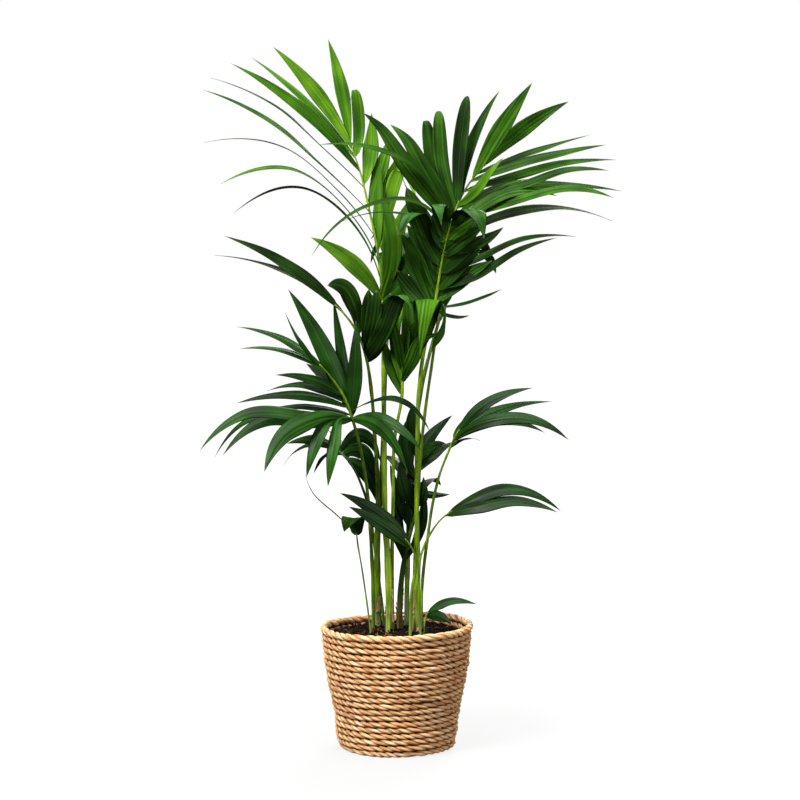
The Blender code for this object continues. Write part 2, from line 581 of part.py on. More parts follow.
def frond_node(name, frond):
    """One frond: its leaflets are joined to the stalk by one Boolean union on a collection."""
    stalk = stalk_solid(name, frond)
    bpy.context.scene.collection.objects.link(stalk)
    parts = bpy.data.collections.new(name + "_leaflets")
    bpy.context.scene.collection.children.link(parts)
    for count, leaflet in enumerate(leaflets_of(frond)):
        parts.objects.link(blade_solid(f"{name}_leaflet_{count}", frond, leaflet))
    union = stalk.modifiers.new("Leaflets", "BOOLEAN")
    union.operation = "UNION"
    union.operand_type = "COLLECTION"
    union.collection = parts
    union.solver = "MANIFOLD"
    apply_modifiers(stalk)
    for obj in list(parts.objects):
        bpy.data.objects.remove(obj)
    bpy.data.collections.remove(parts)
    finish_node(stalk, frond["slot"])


def turned(name, profile, sides):
    """Turns a profile of (radius, height) points about Z, from the axis at the bottom back to the axis."""
    inner = profile[1:-1]
    angles = np.arange(sides) * 2 * math.pi / sides
    points = [(0, 0, profile[0][1])]
    for radius, height in inner:
        points += [(radius * math.cos(a), radius * math.sin(a), height) for a in angles]
    points.append((0, 0, profile[-1][1]))
    faces = []
    for k in range(sides):
        after = (k + 1) % sides
        faces.append((0, 1 + after, 1 + k))
        for ring in range(len(inner) - 1):
            a = 1 + ring * sides
            b = a + sides
            faces += [(a + k, a + after, b + after), (a + k, b + after, b + k)]
        last = 1 + (len(inner) - 1) * sides
        faces.append((last + k, last + after, len(points) - 1))
    return add_mesh(name, points, faces)


def wall_radius(height):
    """The basket wall's outer radius at a height."""
    heights, radii = np.array(BASKET_OUTLINE, float).T * MM
    return float(np.interp(height, heights, radii))


def basket_node():
    """Wall and base as one solid, with a ridge for each row of rope."""
    profile = [(0, 0), (FOOT_RADIUS, 0)]
    top = ROPE_ROWS * ROPE_PITCH
    for row in range(ROPE_ROWS):
        middle = (row + 0.5) * ROPE_PITCH
        if row:
            profile.append((wall_radius(row * ROPE_PITCH) - ROW_GAP_DEPTH, row * ROPE_PITCH))
        profile.append((wall_radius(middle), middle))
    profile.append((wall_radius(top) - ROW_GAP_DEPTH, top))
    profile.append((wall_radius(top) - WALL, top))
    for height in reversed(INSIDE_STEPS):
        profile.append((wall_radius(height) - WALL, height))
    profile += [(wall_radius(BASE_THICKNESS) - WALL, BASE_THICKNESS), (0, BASE_THICKNESS)]
    basket = turned("basket", profile, BASKET_SIDES)
    finish_node(basket, "rope")


def inside_radius(height):
    """The basket's inner radius, on its straight stretches between the profile's heights."""
    heights = (BASE_THICKNESS, *INSIDE_STEPS, ROPE_ROWS * ROPE_PITCH)
    return float(np.interp(height, heights, [wall_radius(h) - WALL for h in heights]))


def cup_profile(inset, heights):
    """Rows of radius and height down the basket's inside, set in from it."""
    return [(inside_radius(h) - inset, h) for h in heights]


def rim_node():
    """The thicker last turn of rope, standing on the wall."""
    centre_height = ROPE_ROWS * ROPE_PITCH + GAP + RIM_ROPE
    points = []
    faces = []
    for k in range(BASKET_SIDES):
        around = 2 * math.pi * k / BASKET_SIDES
        for j in range(RIM_RING_SIDES):
            over = 2 * math.pi * (j + 0.5) / RIM_RING_SIDES
            radius = RIM_RADIUS + RIM_ROPE * math.cos(over)
            height = centre_height + RIM_ROPE * math.sin(over)
            points.append((radius * math.cos(around), radius * math.sin(around), height))
    for k in range(BASKET_SIDES):
        for j in range(RIM_RING_SIDES):
            a = k * RIM_RING_SIDES + j
            b = k * RIM_RING_SIDES + (j + 1) % RIM_RING_SIDES
            c = (k + 1) % BASKET_SIDES * RIM_RING_SIDES + j
            d = (k + 1) % BASKET_SIDES * RIM_RING_SIDES + (j + 1) % RIM_RING_SIDES
            faces += [(a, c, d), (a, d, b)]
    finish_node(add_mesh("rim_rope", points, faces), "rope")


def liner_node():
    """A thin cup inside the wall, open at the top."""
    floor = BASE_THICKNESS + GAP
    outer = cup_profile(GAP, (floor, *INSIDE_STEPS, LINER_TOP))
    inner = cup_profile(GAP + LINER, (floor + LINER, *INSIDE_STEPS, LINER_TOP))
    profile = [(0, floor)] + outer + inner[::-1] + [(0, floor + LINER)]
    finish_node(turned("liner", profile, BASKET_SIDES), "plastic")


def soil_node():
    """The soil fills the liner, and each stalk has its own straight hole in it."""
    floor = BASE_THICKNESS + GAP + LINER + GAP
    inset = GAP + LINER + GAP
    wall = cup_profile(inset, (floor, *INSIDE_STEPS, SOIL_EDGE))
    mound = [(MOUND_RADIUS, MOUND_TOP), (0, SOIL_TOP)]
    soil = turned("soil", [(0, floor)] + wall + mound, BASKET_SIDES)
    bpy.context.scene.collection.objects.link(soil)
    holes = bpy.data.collections.new("holes")
    bpy.context.scene.collection.children.link(holes)
    for name, frond in FRONDS.items():
        x, depth, radius = frond["foot"]
        sides = stalk_sides(frond)
        size = radius * MM + GAP / math.cos(math.pi / sides)
        profile = [(0, HOLE_BOTTOM), (size, HOLE_BOTTOM), (size, HOLE_CUT_TOP), (0, HOLE_CUT_TOP)]
        hole = turned(name + "_hole", profile, sides)
        hole.location = (x * CM, depth * CM, 0)
        holes.objects.link(hole)
    cut = soil.modifiers.new("Holes", "BOOLEAN")
    cut.operation = "DIFFERENCE"
    cut.operand_type = "COLLECTION"
    cut.collection = holes
    cut.solver = "EXACT"
    apply_modifiers(soil)
    for obj in list(holes.objects):
        bpy.data.objects.remove(obj)
    bpy.data.collections.remove(holes)
    finish_node(soil, "soil")


def clear_scene():
    for obj in list(bpy.data.objects):
        bpy.data.objects.remove(obj)


def main():
    clear_scene()
    basket_node()
    rim_node()
    liner_node()
    soil_node()
    for name, frond in FRONDS.items():
        frond_node(name, frond)
    bpy.context.view_layer.update()


if __name__ == "__main__":
    main()
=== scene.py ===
# Kentia palm in a basket of coiled, twisted rope. Metres, +Z up, -Y towards the viewer of the front.
import math

import bpy
import numpy as np
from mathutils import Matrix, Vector


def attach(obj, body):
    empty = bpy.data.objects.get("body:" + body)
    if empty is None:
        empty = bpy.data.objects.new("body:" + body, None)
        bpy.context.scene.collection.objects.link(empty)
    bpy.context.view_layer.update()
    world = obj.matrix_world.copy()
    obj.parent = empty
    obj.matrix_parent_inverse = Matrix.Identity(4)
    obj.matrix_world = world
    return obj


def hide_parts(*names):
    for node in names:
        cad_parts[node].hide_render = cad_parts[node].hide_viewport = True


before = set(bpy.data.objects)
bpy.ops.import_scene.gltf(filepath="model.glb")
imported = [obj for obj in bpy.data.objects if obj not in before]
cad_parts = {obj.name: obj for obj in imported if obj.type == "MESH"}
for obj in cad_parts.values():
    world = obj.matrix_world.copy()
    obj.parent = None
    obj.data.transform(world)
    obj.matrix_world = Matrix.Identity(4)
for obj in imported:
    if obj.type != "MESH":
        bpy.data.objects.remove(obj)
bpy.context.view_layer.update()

cm = 0.01
mm = 0.001
fullTurn = 2 * math.pi


# Colours and nodes

def linear(hexCode):
    # Each sRGB share c turns linear as ((c + 0.055) / 1.055) ** 2.4, or as c / 12.92 below 0.04045.
    shares = [int(hexCode[i:i + 2], 16) / 255 for i in (1, 3, 5)]
    return (*[c / 12.92 if c < 0.04045 else ((c + 0.055) / 1.055) ** 2.4 for c in shares], 1.0)


def setInputs(node, inputs):
    # Gives each input its value, its hex colour, or a link from another node's output.
    for name, value in inputs.items():
        if isinstance(value, bpy.types.NodeSocket):
            node.id_data.links.new(value, node.inputs[name])
        else:
            node.inputs[name].default_value = linear(value) if isinstance(value, str) else value


def addNode(tree, kind, inputs={}, out=0, **settings):
    # Adds a node with its settings and inputs, and returns one of its outputs. Ramp stops are (place, hex).
    node = tree.nodes.new("ShaderNode" + kind)
    for number, (at, hexCode) in enumerate(settings.pop("stops", ())):
        marks = node.color_ramp.elements
        mark = marks[number] if number < 2 else marks.new(at)
        mark.position = at
        mark.color = linear(hexCode)
    for name, value in settings.items():
        setattr(node, name, value)
    setInputs(node, inputs)
    return node.outputs[out]


def newMaterial(name):
    # A material with an empty tree but for its shader and its output.
    material = bpy.data.materials.new(name)
    material.use_nodes = True
    tree = material.node_tree
    return material, tree, tree.nodes["Principled BSDF"]


def streaks(tree, source, scale, detail):
    # Noise that is fine across the piece and long along it, from three scales.
    drawn = addNode(tree, "Mapping", {"Vector": source, "Scale": scale})
    return addNode(tree, "TexNoise", {"Vector": drawn, "Scale": 1.0, "Detail": detail})


def toned(tree, pattern, gain, offset):
    # The pattern times a gain, plus an offset and the tone that the mesh holds for each point.
    tone = addNode(tree, "Attribute", out="Fac", attribute_name="tone")
    spread = addNode(tree, "Math", {0: pattern, 1: gain, 2: offset}, operation="MULTIPLY_ADD")
    return addNode(tree, "Math", {0: spread, 1: tone}, operation="ADD")


# Shapes

def unit(vectors):
    # Each vector divided by its own length.
    return vectors / np.linalg.norm(vectors, axis=-1, keepdims=True)


def paired(*values):
    # Grids that hold their values side by side, stretched to one size.
    return np.stack(np.broadcast_arrays(*values), -1)


def roundAxis(radius, angle, height):
    # Points at a radius, an angle and a height round the basket's axis.
    return paired(radius * np.cos(angle), radius * np.sin(angle), height)


def equalAngles(count):
    # Angles in equal steps round one full turn.
    return np.arange(count) * fullTurn / count


def ringRound(angles, right, front):
    # For each row its directions at the angles, which turn from right towards front.
    return np.cos(angles)[..., None] * right[:, None, :] + np.sin(angles)[..., None] * front[:, None, :]


def lengthTo(points):
    # The length along the points, from the first to each.
    steps = np.linalg.norm(np.diff(points[:, :3], axis=0), axis=1)
    return np.concatenate([[0], np.cumsum(steps)])


def smooth(points, shares):
    # A smooth curve through the points, read at shares of its length: between each two points a cubic
    # that leaves and arrives along the slope of its neighbours.
    points = np.asarray(points, float)
    at = lengthTo(points)
    slopes = np.gradient(points, at, axis=0, edge_order=2 if len(points) > 2 else 1)
    where = np.asarray(shares, float) * at[-1]
    first = np.clip(np.searchsorted(at, where, side="right") - 1, 0, len(at) - 2)
    span = (at[first + 1] - at[first])[:, None]
    t = (where[:, None] - at[first][:, None]) / span
    start, end = points[first], points[first + 1]
    leave, arrive = slopes[first] * span, slopes[first + 1] * span
    return (
        start * (1 + 2 * t) * (1 - t) ** 2
        + leave * t * (1 - t) ** 2
        + end * t**2 * (3 - 2 * t)
        + arrive * t**2 * (t - 1)
    )


def carried(first, tangents):
    # Carries a vector along a curve without twisting it: each tangent takes off the part along itself.
    vectors = []
    vector = np.asarray(first, float)
    for tangent in tangents:
        vector = unit(vector - vector @ tangent * tangent)
        vectors.append(vector)
    return np.array(vectors)


def rise(low, high, values):
    # 0 below low, 1 above high, and a smooth step between.
    t = np.clip((values - low) / (high - low), 0, 1)
    return t * t * (3 - 2 * t)


def ripple(places, size, seed):
    # A smooth random value, mostly -1 to 1: twelve sine waves in random directions, about size long.
    places = np.asarray(places, float)
    draw = np.random.default_rng(seed)
    ways = unit(draw.normal(size=(12, places.shape[-1])))
    pace = fullTurn / (size * draw.uniform(0.6, 1.6, 12))
    waves = np.sin(places @ (ways * pace[:, None]).T + draw.uniform(0, fullTurn, 12))
    return waves.sum(-1) * 0.4


def tube(rings, uv, layers, kind=0):
    # A closed skin over rings of points, each ring running counterclockwise as seen from the last ring.
    # uv has one more column than the rings, for the seam. layers are values for each point.
    count, around = rings.shape[:2]
    row = np.arange(count - 1)[:, None] * around
    here = np.arange(around)
    after = (here + 1) % around
    quads = np.stack([row + here, row + after, row + after + around, row + here + around], -1)
    places = np.stack([uv[:-1, :-1], uv[:-1, 1:], uv[1:, 1:], uv[1:, :-1]], 2)
    kinds = np.broadcast_to(kind, (count - 1, around)).ravel()
    return {
        "points": rings.reshape(-1, 3),
        "corners": np.concatenate([quads.ravel(), here[::-1], here + (count - 1) * around]),
        "sizes": np.concatenate([np.full((count - 1) * around, 4), [around, around]]),
        "uv": np.concatenate([places.reshape(-1, 2), uv[0, :-1][::-1], uv[-1, :-1]]),
        "kinds": np.concatenate([kinds, np.ravel(kind)[:1].repeat(2)]),
        "layers": {name: np.broadcast_to(value, (count, around)).ravel() for name, value in layers.items()},
    }


def thinTube(path, radius, sides, layers, kind=0):
    # A round tube along a path that thins to its end.
    tangents = unit(np.gradient(path, axis=0))
    right = carried((0.3, 0.2, 1), tangents)
    thin = radius * (1 - 0.75 * np.linspace(0, 1, len(path)) ** 2)
    circle = ringRound(equalAngles(sides), right, np.cross(tangents, right))
    uv = paired(np.linspace(0, 1, len(path))[:, None], np.linspace(0, 1, sides + 1))
    return tube(path[:, None, :] + circle * thin[:, None, None], uv, layers, kind)


def putMesh(name, parts, materials, node):
    # Joins the parts in one mesh, and puts it in the scene in place of its CAD node.
    starts = np.cumsum([0] + [len(part["points"]) for part in parts])
    points, sizes, uv, kinds = [
        np.concatenate([part[key] for part in parts]) for key in ("points", "sizes", "uv", "kinds")
    ]
    corners = np.concatenate([part["corners"] + start for part, start in zip(parts, starts)])
    mesh = bpy.data.meshes.new(name)
    mesh.vertices.add(len(points))
    mesh.vertices.foreach_set("co", points.astype(np.float32).ravel())
    mesh.loops.add(len(corners))
    mesh.loops.foreach_set("vertex_index", corners.astype(np.int32))
    mesh.polygons.add(len(sizes))
    mesh.polygons.foreach_set("loop_start", np.concatenate([[0], np.cumsum(sizes)[:-1]]).astype(np.int32))
    mesh.polygons.foreach_set("material_index", kinds.astype(np.int32))
    mesh.uv_layers.new(name="surface").uv.foreach_set("vector", uv.astype(np.float32).ravel())
    for key in parts[0]["layers"]:
        values = np.concatenate([part["layers"][key] for part in parts])
        mesh.attributes.new(key, "FLOAT", "POINT").data.foreach_set("value", values.astype(np.float32))
    mesh.update(calc_edges=True)
    mesh.validate()
    mesh.shade_smooth()
    for material in materials:
        mesh.materials.append(material)
    piece = bpy.data.objects.new(name, mesh)
    bpy.context.scene.collection.objects.link(piece)
    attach(piece, "root")
    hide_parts(node)
    print(f"{name}: {int((sizes - 2).sum())} triangles")


# The photograph's view, the light and the floor

view = {
    "eye": (0.0057, -4.0, 0.907),
    "pitch": 4.534,  # degrees down
    "lens": 107.25,
}
light = {
    "key": {"place": (-2.2, -2.5, 3.3), "size": 1.3, "watts": 300},
    "fill": {"place": (2.8, -2.4, 1.4), "size": 2.0, "watts": 80},
    "top": {"place": (-0.4, -0.3, 3.2), "size": 2.4, "watts": 150},
    "back": {"place": (1.0, 3.0, 2.2), "size": 1.8, "watts": 95},
    "air": 0.10,
    "aim": (0, 0, 0.6),
}
stage = {
    "radius": 9.0,
    "colour": "#343433",
    "grain": "#393938",
    "glow": 0.838,  # at the object's foot
    "farGlow": 1.05,
    "foot": 0.25,  # the glow grows from here
    "far": 1.1,  # to here
}


def makeView():
    # A camera at the eye of the photograph, tilted down by its pitch.
    data = bpy.data.cameras.new("photo_view")
    data.sensor_width = 36
    data.lens = view["lens"]
    data.clip_end = 60
    camera = bpy.data.objects.new("photo_view", data)
    camera.location = view["eye"]
    camera.rotation_euler = (math.radians(90 - view["pitch"]), 0, 0)
    bpy.context.scene.collection.objects.link(camera)
    bpy.context.scene.camera = camera
    bpy.context.scene.view_settings.view_transform = "Standard"


def makeLight():
    # Large soft boxes, and an even white room that the camera sees brighter than the leaves do.
    for name in ("key", "fill", "top", "back"):
        lamp = bpy.data.lights.new(name, "AREA")
        lamp.shape = "SQUARE"
        lamp.size = light[name]["size"]
        lamp.energy = light[name]["watts"]
        box = bpy.data.objects.new(name, lamp)
        bpy.context.scene.collection.objects.link(box)
        box.location = light[name]["place"]
        box.rotation_euler = (Vector(light["aim"]) - box.location).to_track_quat("-Z", "Y").to_euler()
    world = bpy.data.worlds.new("studio")
    bpy.context.scene.world = world
    world.use_nodes = True
    tree = world.node_tree
    seen = addNode(tree, "LightPath", out="Is Camera Ray")
    power = addNode(tree, "Mix", {"Factor": seen, "A": light["air"], "B": 1.0}, "Result")
    setInputs(tree.nodes["Background"], {"Color": "#ffffff", "Strength": power})


def makeFloor():
    # Seamless backdrop paper, matt and dark grey. The camera sees it with a painted glow of its own, which
    # grows away from the object's foot to make up for the lamps' falloff, so that it looks as pale as the
    # room behind it and only the shadow at the foot shows. That glow lights nothing.
    material, tree, shader = newMaterial("backdropPaper")
    seen = addNode(tree, "LightPath", out="Is Camera Ray")
    place = addNode(tree, "TexCoord", out="Object")
    away = addNode(tree, "VectorMath", {0: place}, "Value", operation="LENGTH")
    near = {"Value": away, "From Min": stage["foot"], "From Max": stage["far"]}
    glows = {"To Min": stage["glow"], "To Max": stage["farGlow"]}
    rising = addNode(tree, "MapRange", near | glows, interpolation_type="SMOOTHSTEP")
    glow = addNode(tree, "Math", {0: seen, 1: rising}, operation="MULTIPLY")
    grain = addNode(tree, "TexNoise", {"Scale": 40.0, "Detail": 2.0})
    colours = {"Factor": grain, "A": stage["colour"], "B": stage["grain"]}
    tint = addNode(tree, "Mix", colours, "Result", data_type="RGBA")
    setInputs(shader, {"Base Color": tint, "Roughness": 0.9})
    setInputs(shader, {"Emission Color": "#ffffff", "Emission Strength": glow})
    bpy.ops.mesh.primitive_circle_add(vertices=96, radius=stage["radius"], fill_type="NGON")
    floor = bpy.context.object
    floor.name = "floor"
    floor.location.z = -0.4 * mm
    floor.data.materials.append(material)


makeView()
makeLight()
makeFloor()
print("view, light and floor are set")


# Twisted seagrass rope: three strands of dried grass laid together. The strands give slanting lobes with
# valleys between them, darkened with painted shade, and the grass gives fine streaks along each strand. It is
# nearly matt.

def makeRopeMaterial():
    material, tree, shader = newMaterial("twistedSeagrass")
    # UV holds metres along the strand and millimetres across it. Real grass blades are 0.5 to 1 mm wide, and
    # they are drawn 2 mm wide here so that they show.
    surface = addNode(tree, "UVMap", uv_map="surface")
    streak = streaks(tree, surface, (40.0, 0.48, 1.0), 4.0)
    level = toned(tree, streak, 3.2, -1.6)
    stops = ((0.0, "#86502a"), (1.0, "#ffeccc"), (0.25, "#b87e48"), (0.5, "#d8a36c"), (0.75, "#f2ca96"))
    grass = addNode(tree, "ValToRGB", {"Fac": level}, stops=stops)
    # Painted shade: the grass turns towards dark brown in the hollows between the strands and in the creases
    # between the rows.
    valleyShade = addNode(tree, "Attribute", out="Fac", attribute_name="valleyShade")
    stops = ((0.0, "#ffffff"), (1.0, "#2c1408"), (0.45, "#bc9c7c"))
    shade = addNode(tree, "ValToRGB", {"Fac": valleyShade}, stops=stops)
    both = {"Factor": 1.0, "A": grass, "B": shade}
    dark = addNode(tree, "Mix", both, "Result", data_type="RGBA", blend_type="MULTIPLY")
    bump = addNode(tree, "Bump", {"Height": streak, "Strength": 0.9, "Distance": 0.8 * mm})
    setInputs(shader, {"Base Color": dark, "Normal": bump, "Roughness": 0.55, "Specular IOR Level": 0.16})
    return material


basket = {
    "ropeRadius": 5.1,  # lengths are in mm
    "ropeSquash": 1.03,  # its height against its depth: the lobes of two rows just touch
    "rimRadius": 6.2,
    "turns": 19,
    "pitch": 10.4,
    "meanRadius": 115.0,  # with the step, it sets how many rings a turn has
    "frontLowest": 5.4,  # height of the lowest row at the front
    "lay": 52.0,  # length of one full turn of a strand
    "lobe": 0.60,  # radius of a strand, as a share of the rope's
    "twistWander": 0.35,  # how far a strand runs ahead or behind, in radians
    "strandWander": 0.035,  # how much a strand's thickness varies
    "toneWander": 0.09,  # how much lighter and darker the strands are
    "step": 2.9,  # from ring to ring of the coil
    "rowWander": (0.4, 0.5),  # how far the rows wander, up and outwards
    "startIn": 3.5,  # how far inside the wall the first turn begins
    "stitchShadeDepth": 1.2,  # how far the stitching cord, which also paints shade into the gap, stays inside the rope's middle
    "stitchShadeHalf": (1.0, 3.4),  # half the depth and half the height of that cord
    "rimCentre": 124.0,
    "rimHeight": 204.1,
    "rimWander": (0.3, 0.4),
    "rimEnd": (2.6, 1.5),  # how far the rim's end sinks, and how far it moves in
    "outline": (  # height, outer radius
        (0, 98.2), (10, 100.6), (22, 103.5), (50, 105.8), (75, 109.8), (100, 115.4), (140, 122.3),
        (180, 126.5), (204, 127.8),
    ),
    "baseRadius": 4.6,
    "basePitch": 9.3,
    "baseOuter": 84.0,
}


def wallCentre(height):
    # The radius of the coil's centre line at a height, both in mm: the outline less the rope's radius.
    curve = smooth(basket["outline"], np.linspace(0, 1, 200))
    return np.interp(height, curve[:, 0], curve[:, 1]) - basket["ropeRadius"] + 0.2


def ropeTube(centres, radii, seed, squash=1.0, lobePoints=9):
    # Three strands round a centre line. In each direction the section's radius is that of the nearest
    # strand's circle, d cos(a) + sqrt(r^2 - d^2 sin^2(a)), and the whole section turns once in each lay.
    along = lengthTo(centres)[:, None]
    tangents = unit(np.gradient(centres, axis=0))
    out = unit(centres * (1, 1, 0) + 1e-9)
    out = unit(out - (out * tangents).sum(1, keepdims=True) * tangents)
    strand, middle = basket["lobe"], 1 - basket["lobe"]
    number = np.arange(3 * lobePoints)
    inLobe = (number % lobePoints / lobePoints - 0.5) * fullTurn / 3
    section = middle * np.cos(inLobe) + np.sqrt(strand**2 - (middle * np.sin(inLobe)) ** 2)

    def perStrand(size, first):
        # A ripple along each of the three strands, for every point of the section.
        return np.stack([ripple(along, size, first + k) for k in range(3)], 1)[:, number // lobePoints]

    twist = fullTurn * along / (basket["lay"] * mm)
    twist = twist + basket["twistWander"] * ripple(along, 0.09, seed)[:, None]
    angles = equalAngles(3 * lobePoints) + twist
    reach = radii[:, None] * section * (1 + basket["strandWander"] * perStrand(0.03, seed))
    rings = centres[:, None, :] + reach[..., None] * ringRound(angles, out, squash * np.cross(tangents, out))
    tone = 0.5 + basket["toneWander"] * perStrand(0.035, seed + 10)
    tone = tone + 0.04 * ripple(along, 0.35, seed + 20)[:, None]
    # Painted shade: the hollows between the strands and the rope's top and bottom, where it meets the rows
    # next to it, are darkened, most of all where both come together.
    hollow = rise(0.90, 0.72, section)
    edge = rise(0.60, 0.98, np.abs(np.sin(angles))) * (squash != 1)
    valleyShade = np.clip(0.38 * hollow + 0.40 * edge + 0.75 * hollow * edge, 0, 1)
    across = np.arange(3 * lobePoints + 1) * radii.mean() / mm * 0.9
    return tube(rings, paired(along, across), {"tone": tone, "valleyShade": valleyShade})


def coilHeight(turn):
    # Height of the rope's middle in mm. It lies on the floor for half a turn, then rises one pitch each turn,
    # and its last turn, the rim, stands higher because it is thicker.
    turns, lowest = basket["turns"], basket["frontLowest"]
    wall = np.maximum(lowest - 0.1, lowest + basket["pitch"] * (turn - 0.5))
    rim = basket["rimHeight"] + 0.92 * basket["pitch"] * (turn - (turns + 0.5))
    return wall + (rim - wall) * rise(turns, turns + 0.25, turn)


def coilAngle(turn):
    # The coil runs counterclockwise from the back.
    return math.pi / 2 + fullTurn * turn


def coilPath(first, last):
    # The climbing coil, whose rows wander a little, as hand-coiled ones do.
    count = int((last - first) * fullTurn * basket["meanRadius"] / basket["step"])
    up, out = basket["rowWander"]
    turn = np.linspace(first, last, count)
    angle = coilAngle(turn)
    place = roundAxis(1, angle, turn * 0.7)
    height = coilHeight(turn) + up * ripple(place, 0.9, 4) * rise(0.6, 2.0, turn)
    radius = wallCentre(height) + out * ripple(place, 0.8, 5) - (1 - rise(0.0, 0.6, turn)) * basket["startIn"]
    return turn, roundAxis(radius, angle, height) * mm


def makeCoil(grass):
    # The wall, as three lengths of the one rope, whose radius varies by about 3%.
    for name, first, last, seed in (
        ("basket_low", 0.0, 6.3, 100),
        ("basket_middle", 6.3, 12.6, 200),
        ("basket_high", 12.6, basket["turns"] + 0.05, 300),
    ):
        turn, centres = coilPath(first, last)
        radii = basket["ropeRadius"] * mm * (1 + 0.03 * ripple(turn[:, None], 0.2, seed + 5))
        putMesh(name, [ropeTube(centres, radii, seed, basket["ropeSquash"])], [grass], "basket")


def makeBase(grass):
    # The flat base: one coil from the middle out, r = pitch * turn, that runs into the first row.
    turns = basket["baseOuter"] / basket["basePitch"]
    turn = np.sqrt(np.linspace(0.35**2, turns**2, 900))
    centres = roundAxis(basket["basePitch"] * turn, coilAngle(turn - turns), basket["baseRadius"] + 0.1) * mm
    radii = np.full(len(turn), basket["baseRadius"] * mm)
    putMesh("basket_base", [ropeTube(centres, radii, 400, lobePoints=6)], [grass], "basket")


def makeRim(grass):
    # The last turn is thicker. It rises to the right as the rows do, and its end tapers away at the back.
    turn = np.linspace(0, 1.03, 430)
    angle = coilAngle(turn)
    place = roundAxis(1, angle, turn * 0.7)
    (up, out), (sink, inwards) = basket["rimWander"], basket["rimEnd"]
    height = coilHeight(turn + basket["turns"]) - sink * rise(0.85, 1.0, turn) + up * ripple(place, 0.9, 8)
    radius = basket["rimCentre"] + out * ripple(place, 0.8, 9) - inwards * rise(0.93, 1.03, turn)
    taper = (0.84 + 0.16 * rise(0, 0.06, turn)) * (1 - 0.72 * rise(0.88, 1.03, turn))
    rope = ropeTube(roundAxis(radius, angle, height) * mm, basket["rimRadius"] * mm * taper, 500)
    putMesh("rim_rope_coil", [rope], [grass], "rim_rope")


# Stitching twine: dark brown waxed cord between the rows, matt, and seen only as dark gaps. It runs as one
# unbroken cord, so it stands for the stitches and also darkens the gaps as painted shade.

def makeTwineGapShadeMaterial():
    material, tree, shader = newMaterial("stitchingTwineGapShade")
    place = addNode(tree, "TexCoord", out="Object")
    fuzz = addNode(tree, "TexNoise", {"Vector": place, "Scale": 500.0, "Detail": 2.0})
    colour = addNode(tree, "ValToRGB", {"Fac": fuzz}, stops=((0.3, "#0c0502"), (0.7, "#281407")))
    bump = addNode(tree, "Bump", {"Height": fuzz, "Strength": 0.4, "Distance": 0.4 * mm})
    setInputs(shader, {"Base Color": colour, "Normal": bump, "Roughness": 0.9})
    return material


def makeBindingGapShade(shadeTwine):
    # A flat dark cord along the gap between each row and the one above, half way between the two rows: it
    # stands for the stitches, and it fills the gap as painted shade.
    turn = np.linspace(0.02, basket["turns"] - 0.03, 2850)
    height = (coilHeight(turn) + coilHeight(turn + 1)) / 2
    radius = wallCentre(height) - basket["stitchShadeDepth"]
    deep, high = basket["stitchShadeHalf"]
    corners = ((deep, -high), (-deep, -high), (-deep, high), (deep, high))
    sides = [roundAxis(radius + out, coilAngle(turn), height + up) for out, up in corners]
    cord = tube(np.stack(sides, 1) * mm, paired(turn[:, None] * 0.75, np.arange(5) * 3.0), {"tone": 0.0})
    putMesh("basket_binding_gap_shade", [cord], [shadeTwine], "basket")


seagrass = makeRopeMaterial()
makeCoil(seagrass)
makeBase(seagrass)
makeBindingGapShade(makeTwineGapShadeMaterial())
makeRim(seagrass)
print("basket is coiled")


# Potting soil: peat and bark, loosely filled. Dark and damp, with matt crumbs, pale root hairs and chips.

soil = {
    "top": 196.0,  # lengths are in mm
    "edge": 190.6,
    "wall": 116.4,
    "inLiner": 114.6,
    "linerTop": 188.5,
    "bottom": 150.0,
    "bottomRing": (110.5, 40.0),  # outer and inner radius of its underside
    "lumps": ((1.8, 45, 21), (1.7, 16, 22), (0.8, 7, 23)),  # height, size, seed
    "clear": {"crumbs": 3, "fibres": 6, "tips": 4},  # how far they stay from the wall
    "crumbs": {"count": 2600, "sizes": (0.8, 1.9), "tones": (0.12, 0.60)},
    "chips": {"count": 60, "sizes": (1.5, 2.3), "tones": (0.5, 0.9)},
    "fibres": 46,
}


def soilHeight(x, y):
    # A low mound, which falls by the square of the distance from its middle, with lumps of three sizes.
    out = np.hypot(x, y) / (soil["wall"] * mm)
    flat = np.stack([x, y], -1)
    height = soil["edge"] + (soil["top"] - soil["edge"]) * (1 - out**2)
    lumps = sum(high * ripple(flat, size * mm, seed) for high, size, seed in soil["lumps"])
    return (height + lumps * (1 - 0.6 * out**4)) * mm


def makeSoilMaterial():
    material, tree, shader = newMaterial("pottingSoil")
    place = addNode(tree, "TexCoord", out="Object")
    # Crumbs are 1 to 4 mm, so the noise repeats about every 3 mm and the grains every 1.5 mm.
    lumps = addNode(tree, "TexNoise", {"Vector": place, "Scale": 330.0, "Detail": 4.0})
    grains = addNode(tree, "TexVoronoi", {"Vector": place, "Scale": 650.0}, "Distance")
    stops = ((0.0, "#060200"), (1.0, "#94683a"), (0.4, "#100602"), (0.62, "#261206"), (0.80, "#4a2c12"))
    colour = addNode(tree, "ValToRGB", {"Fac": toned(tree, lumps, 1.2, -0.62)}, stops=stops)
    bump = addNode(tree, "Bump", {"Height": grains, "Strength": 0.8, "Distance": 1.0 * mm})
    setInputs(shader, {"Base Color": colour, "Normal": bump, "Roughness": 0.9, "Specular IOR Level": 0.12})
    return material


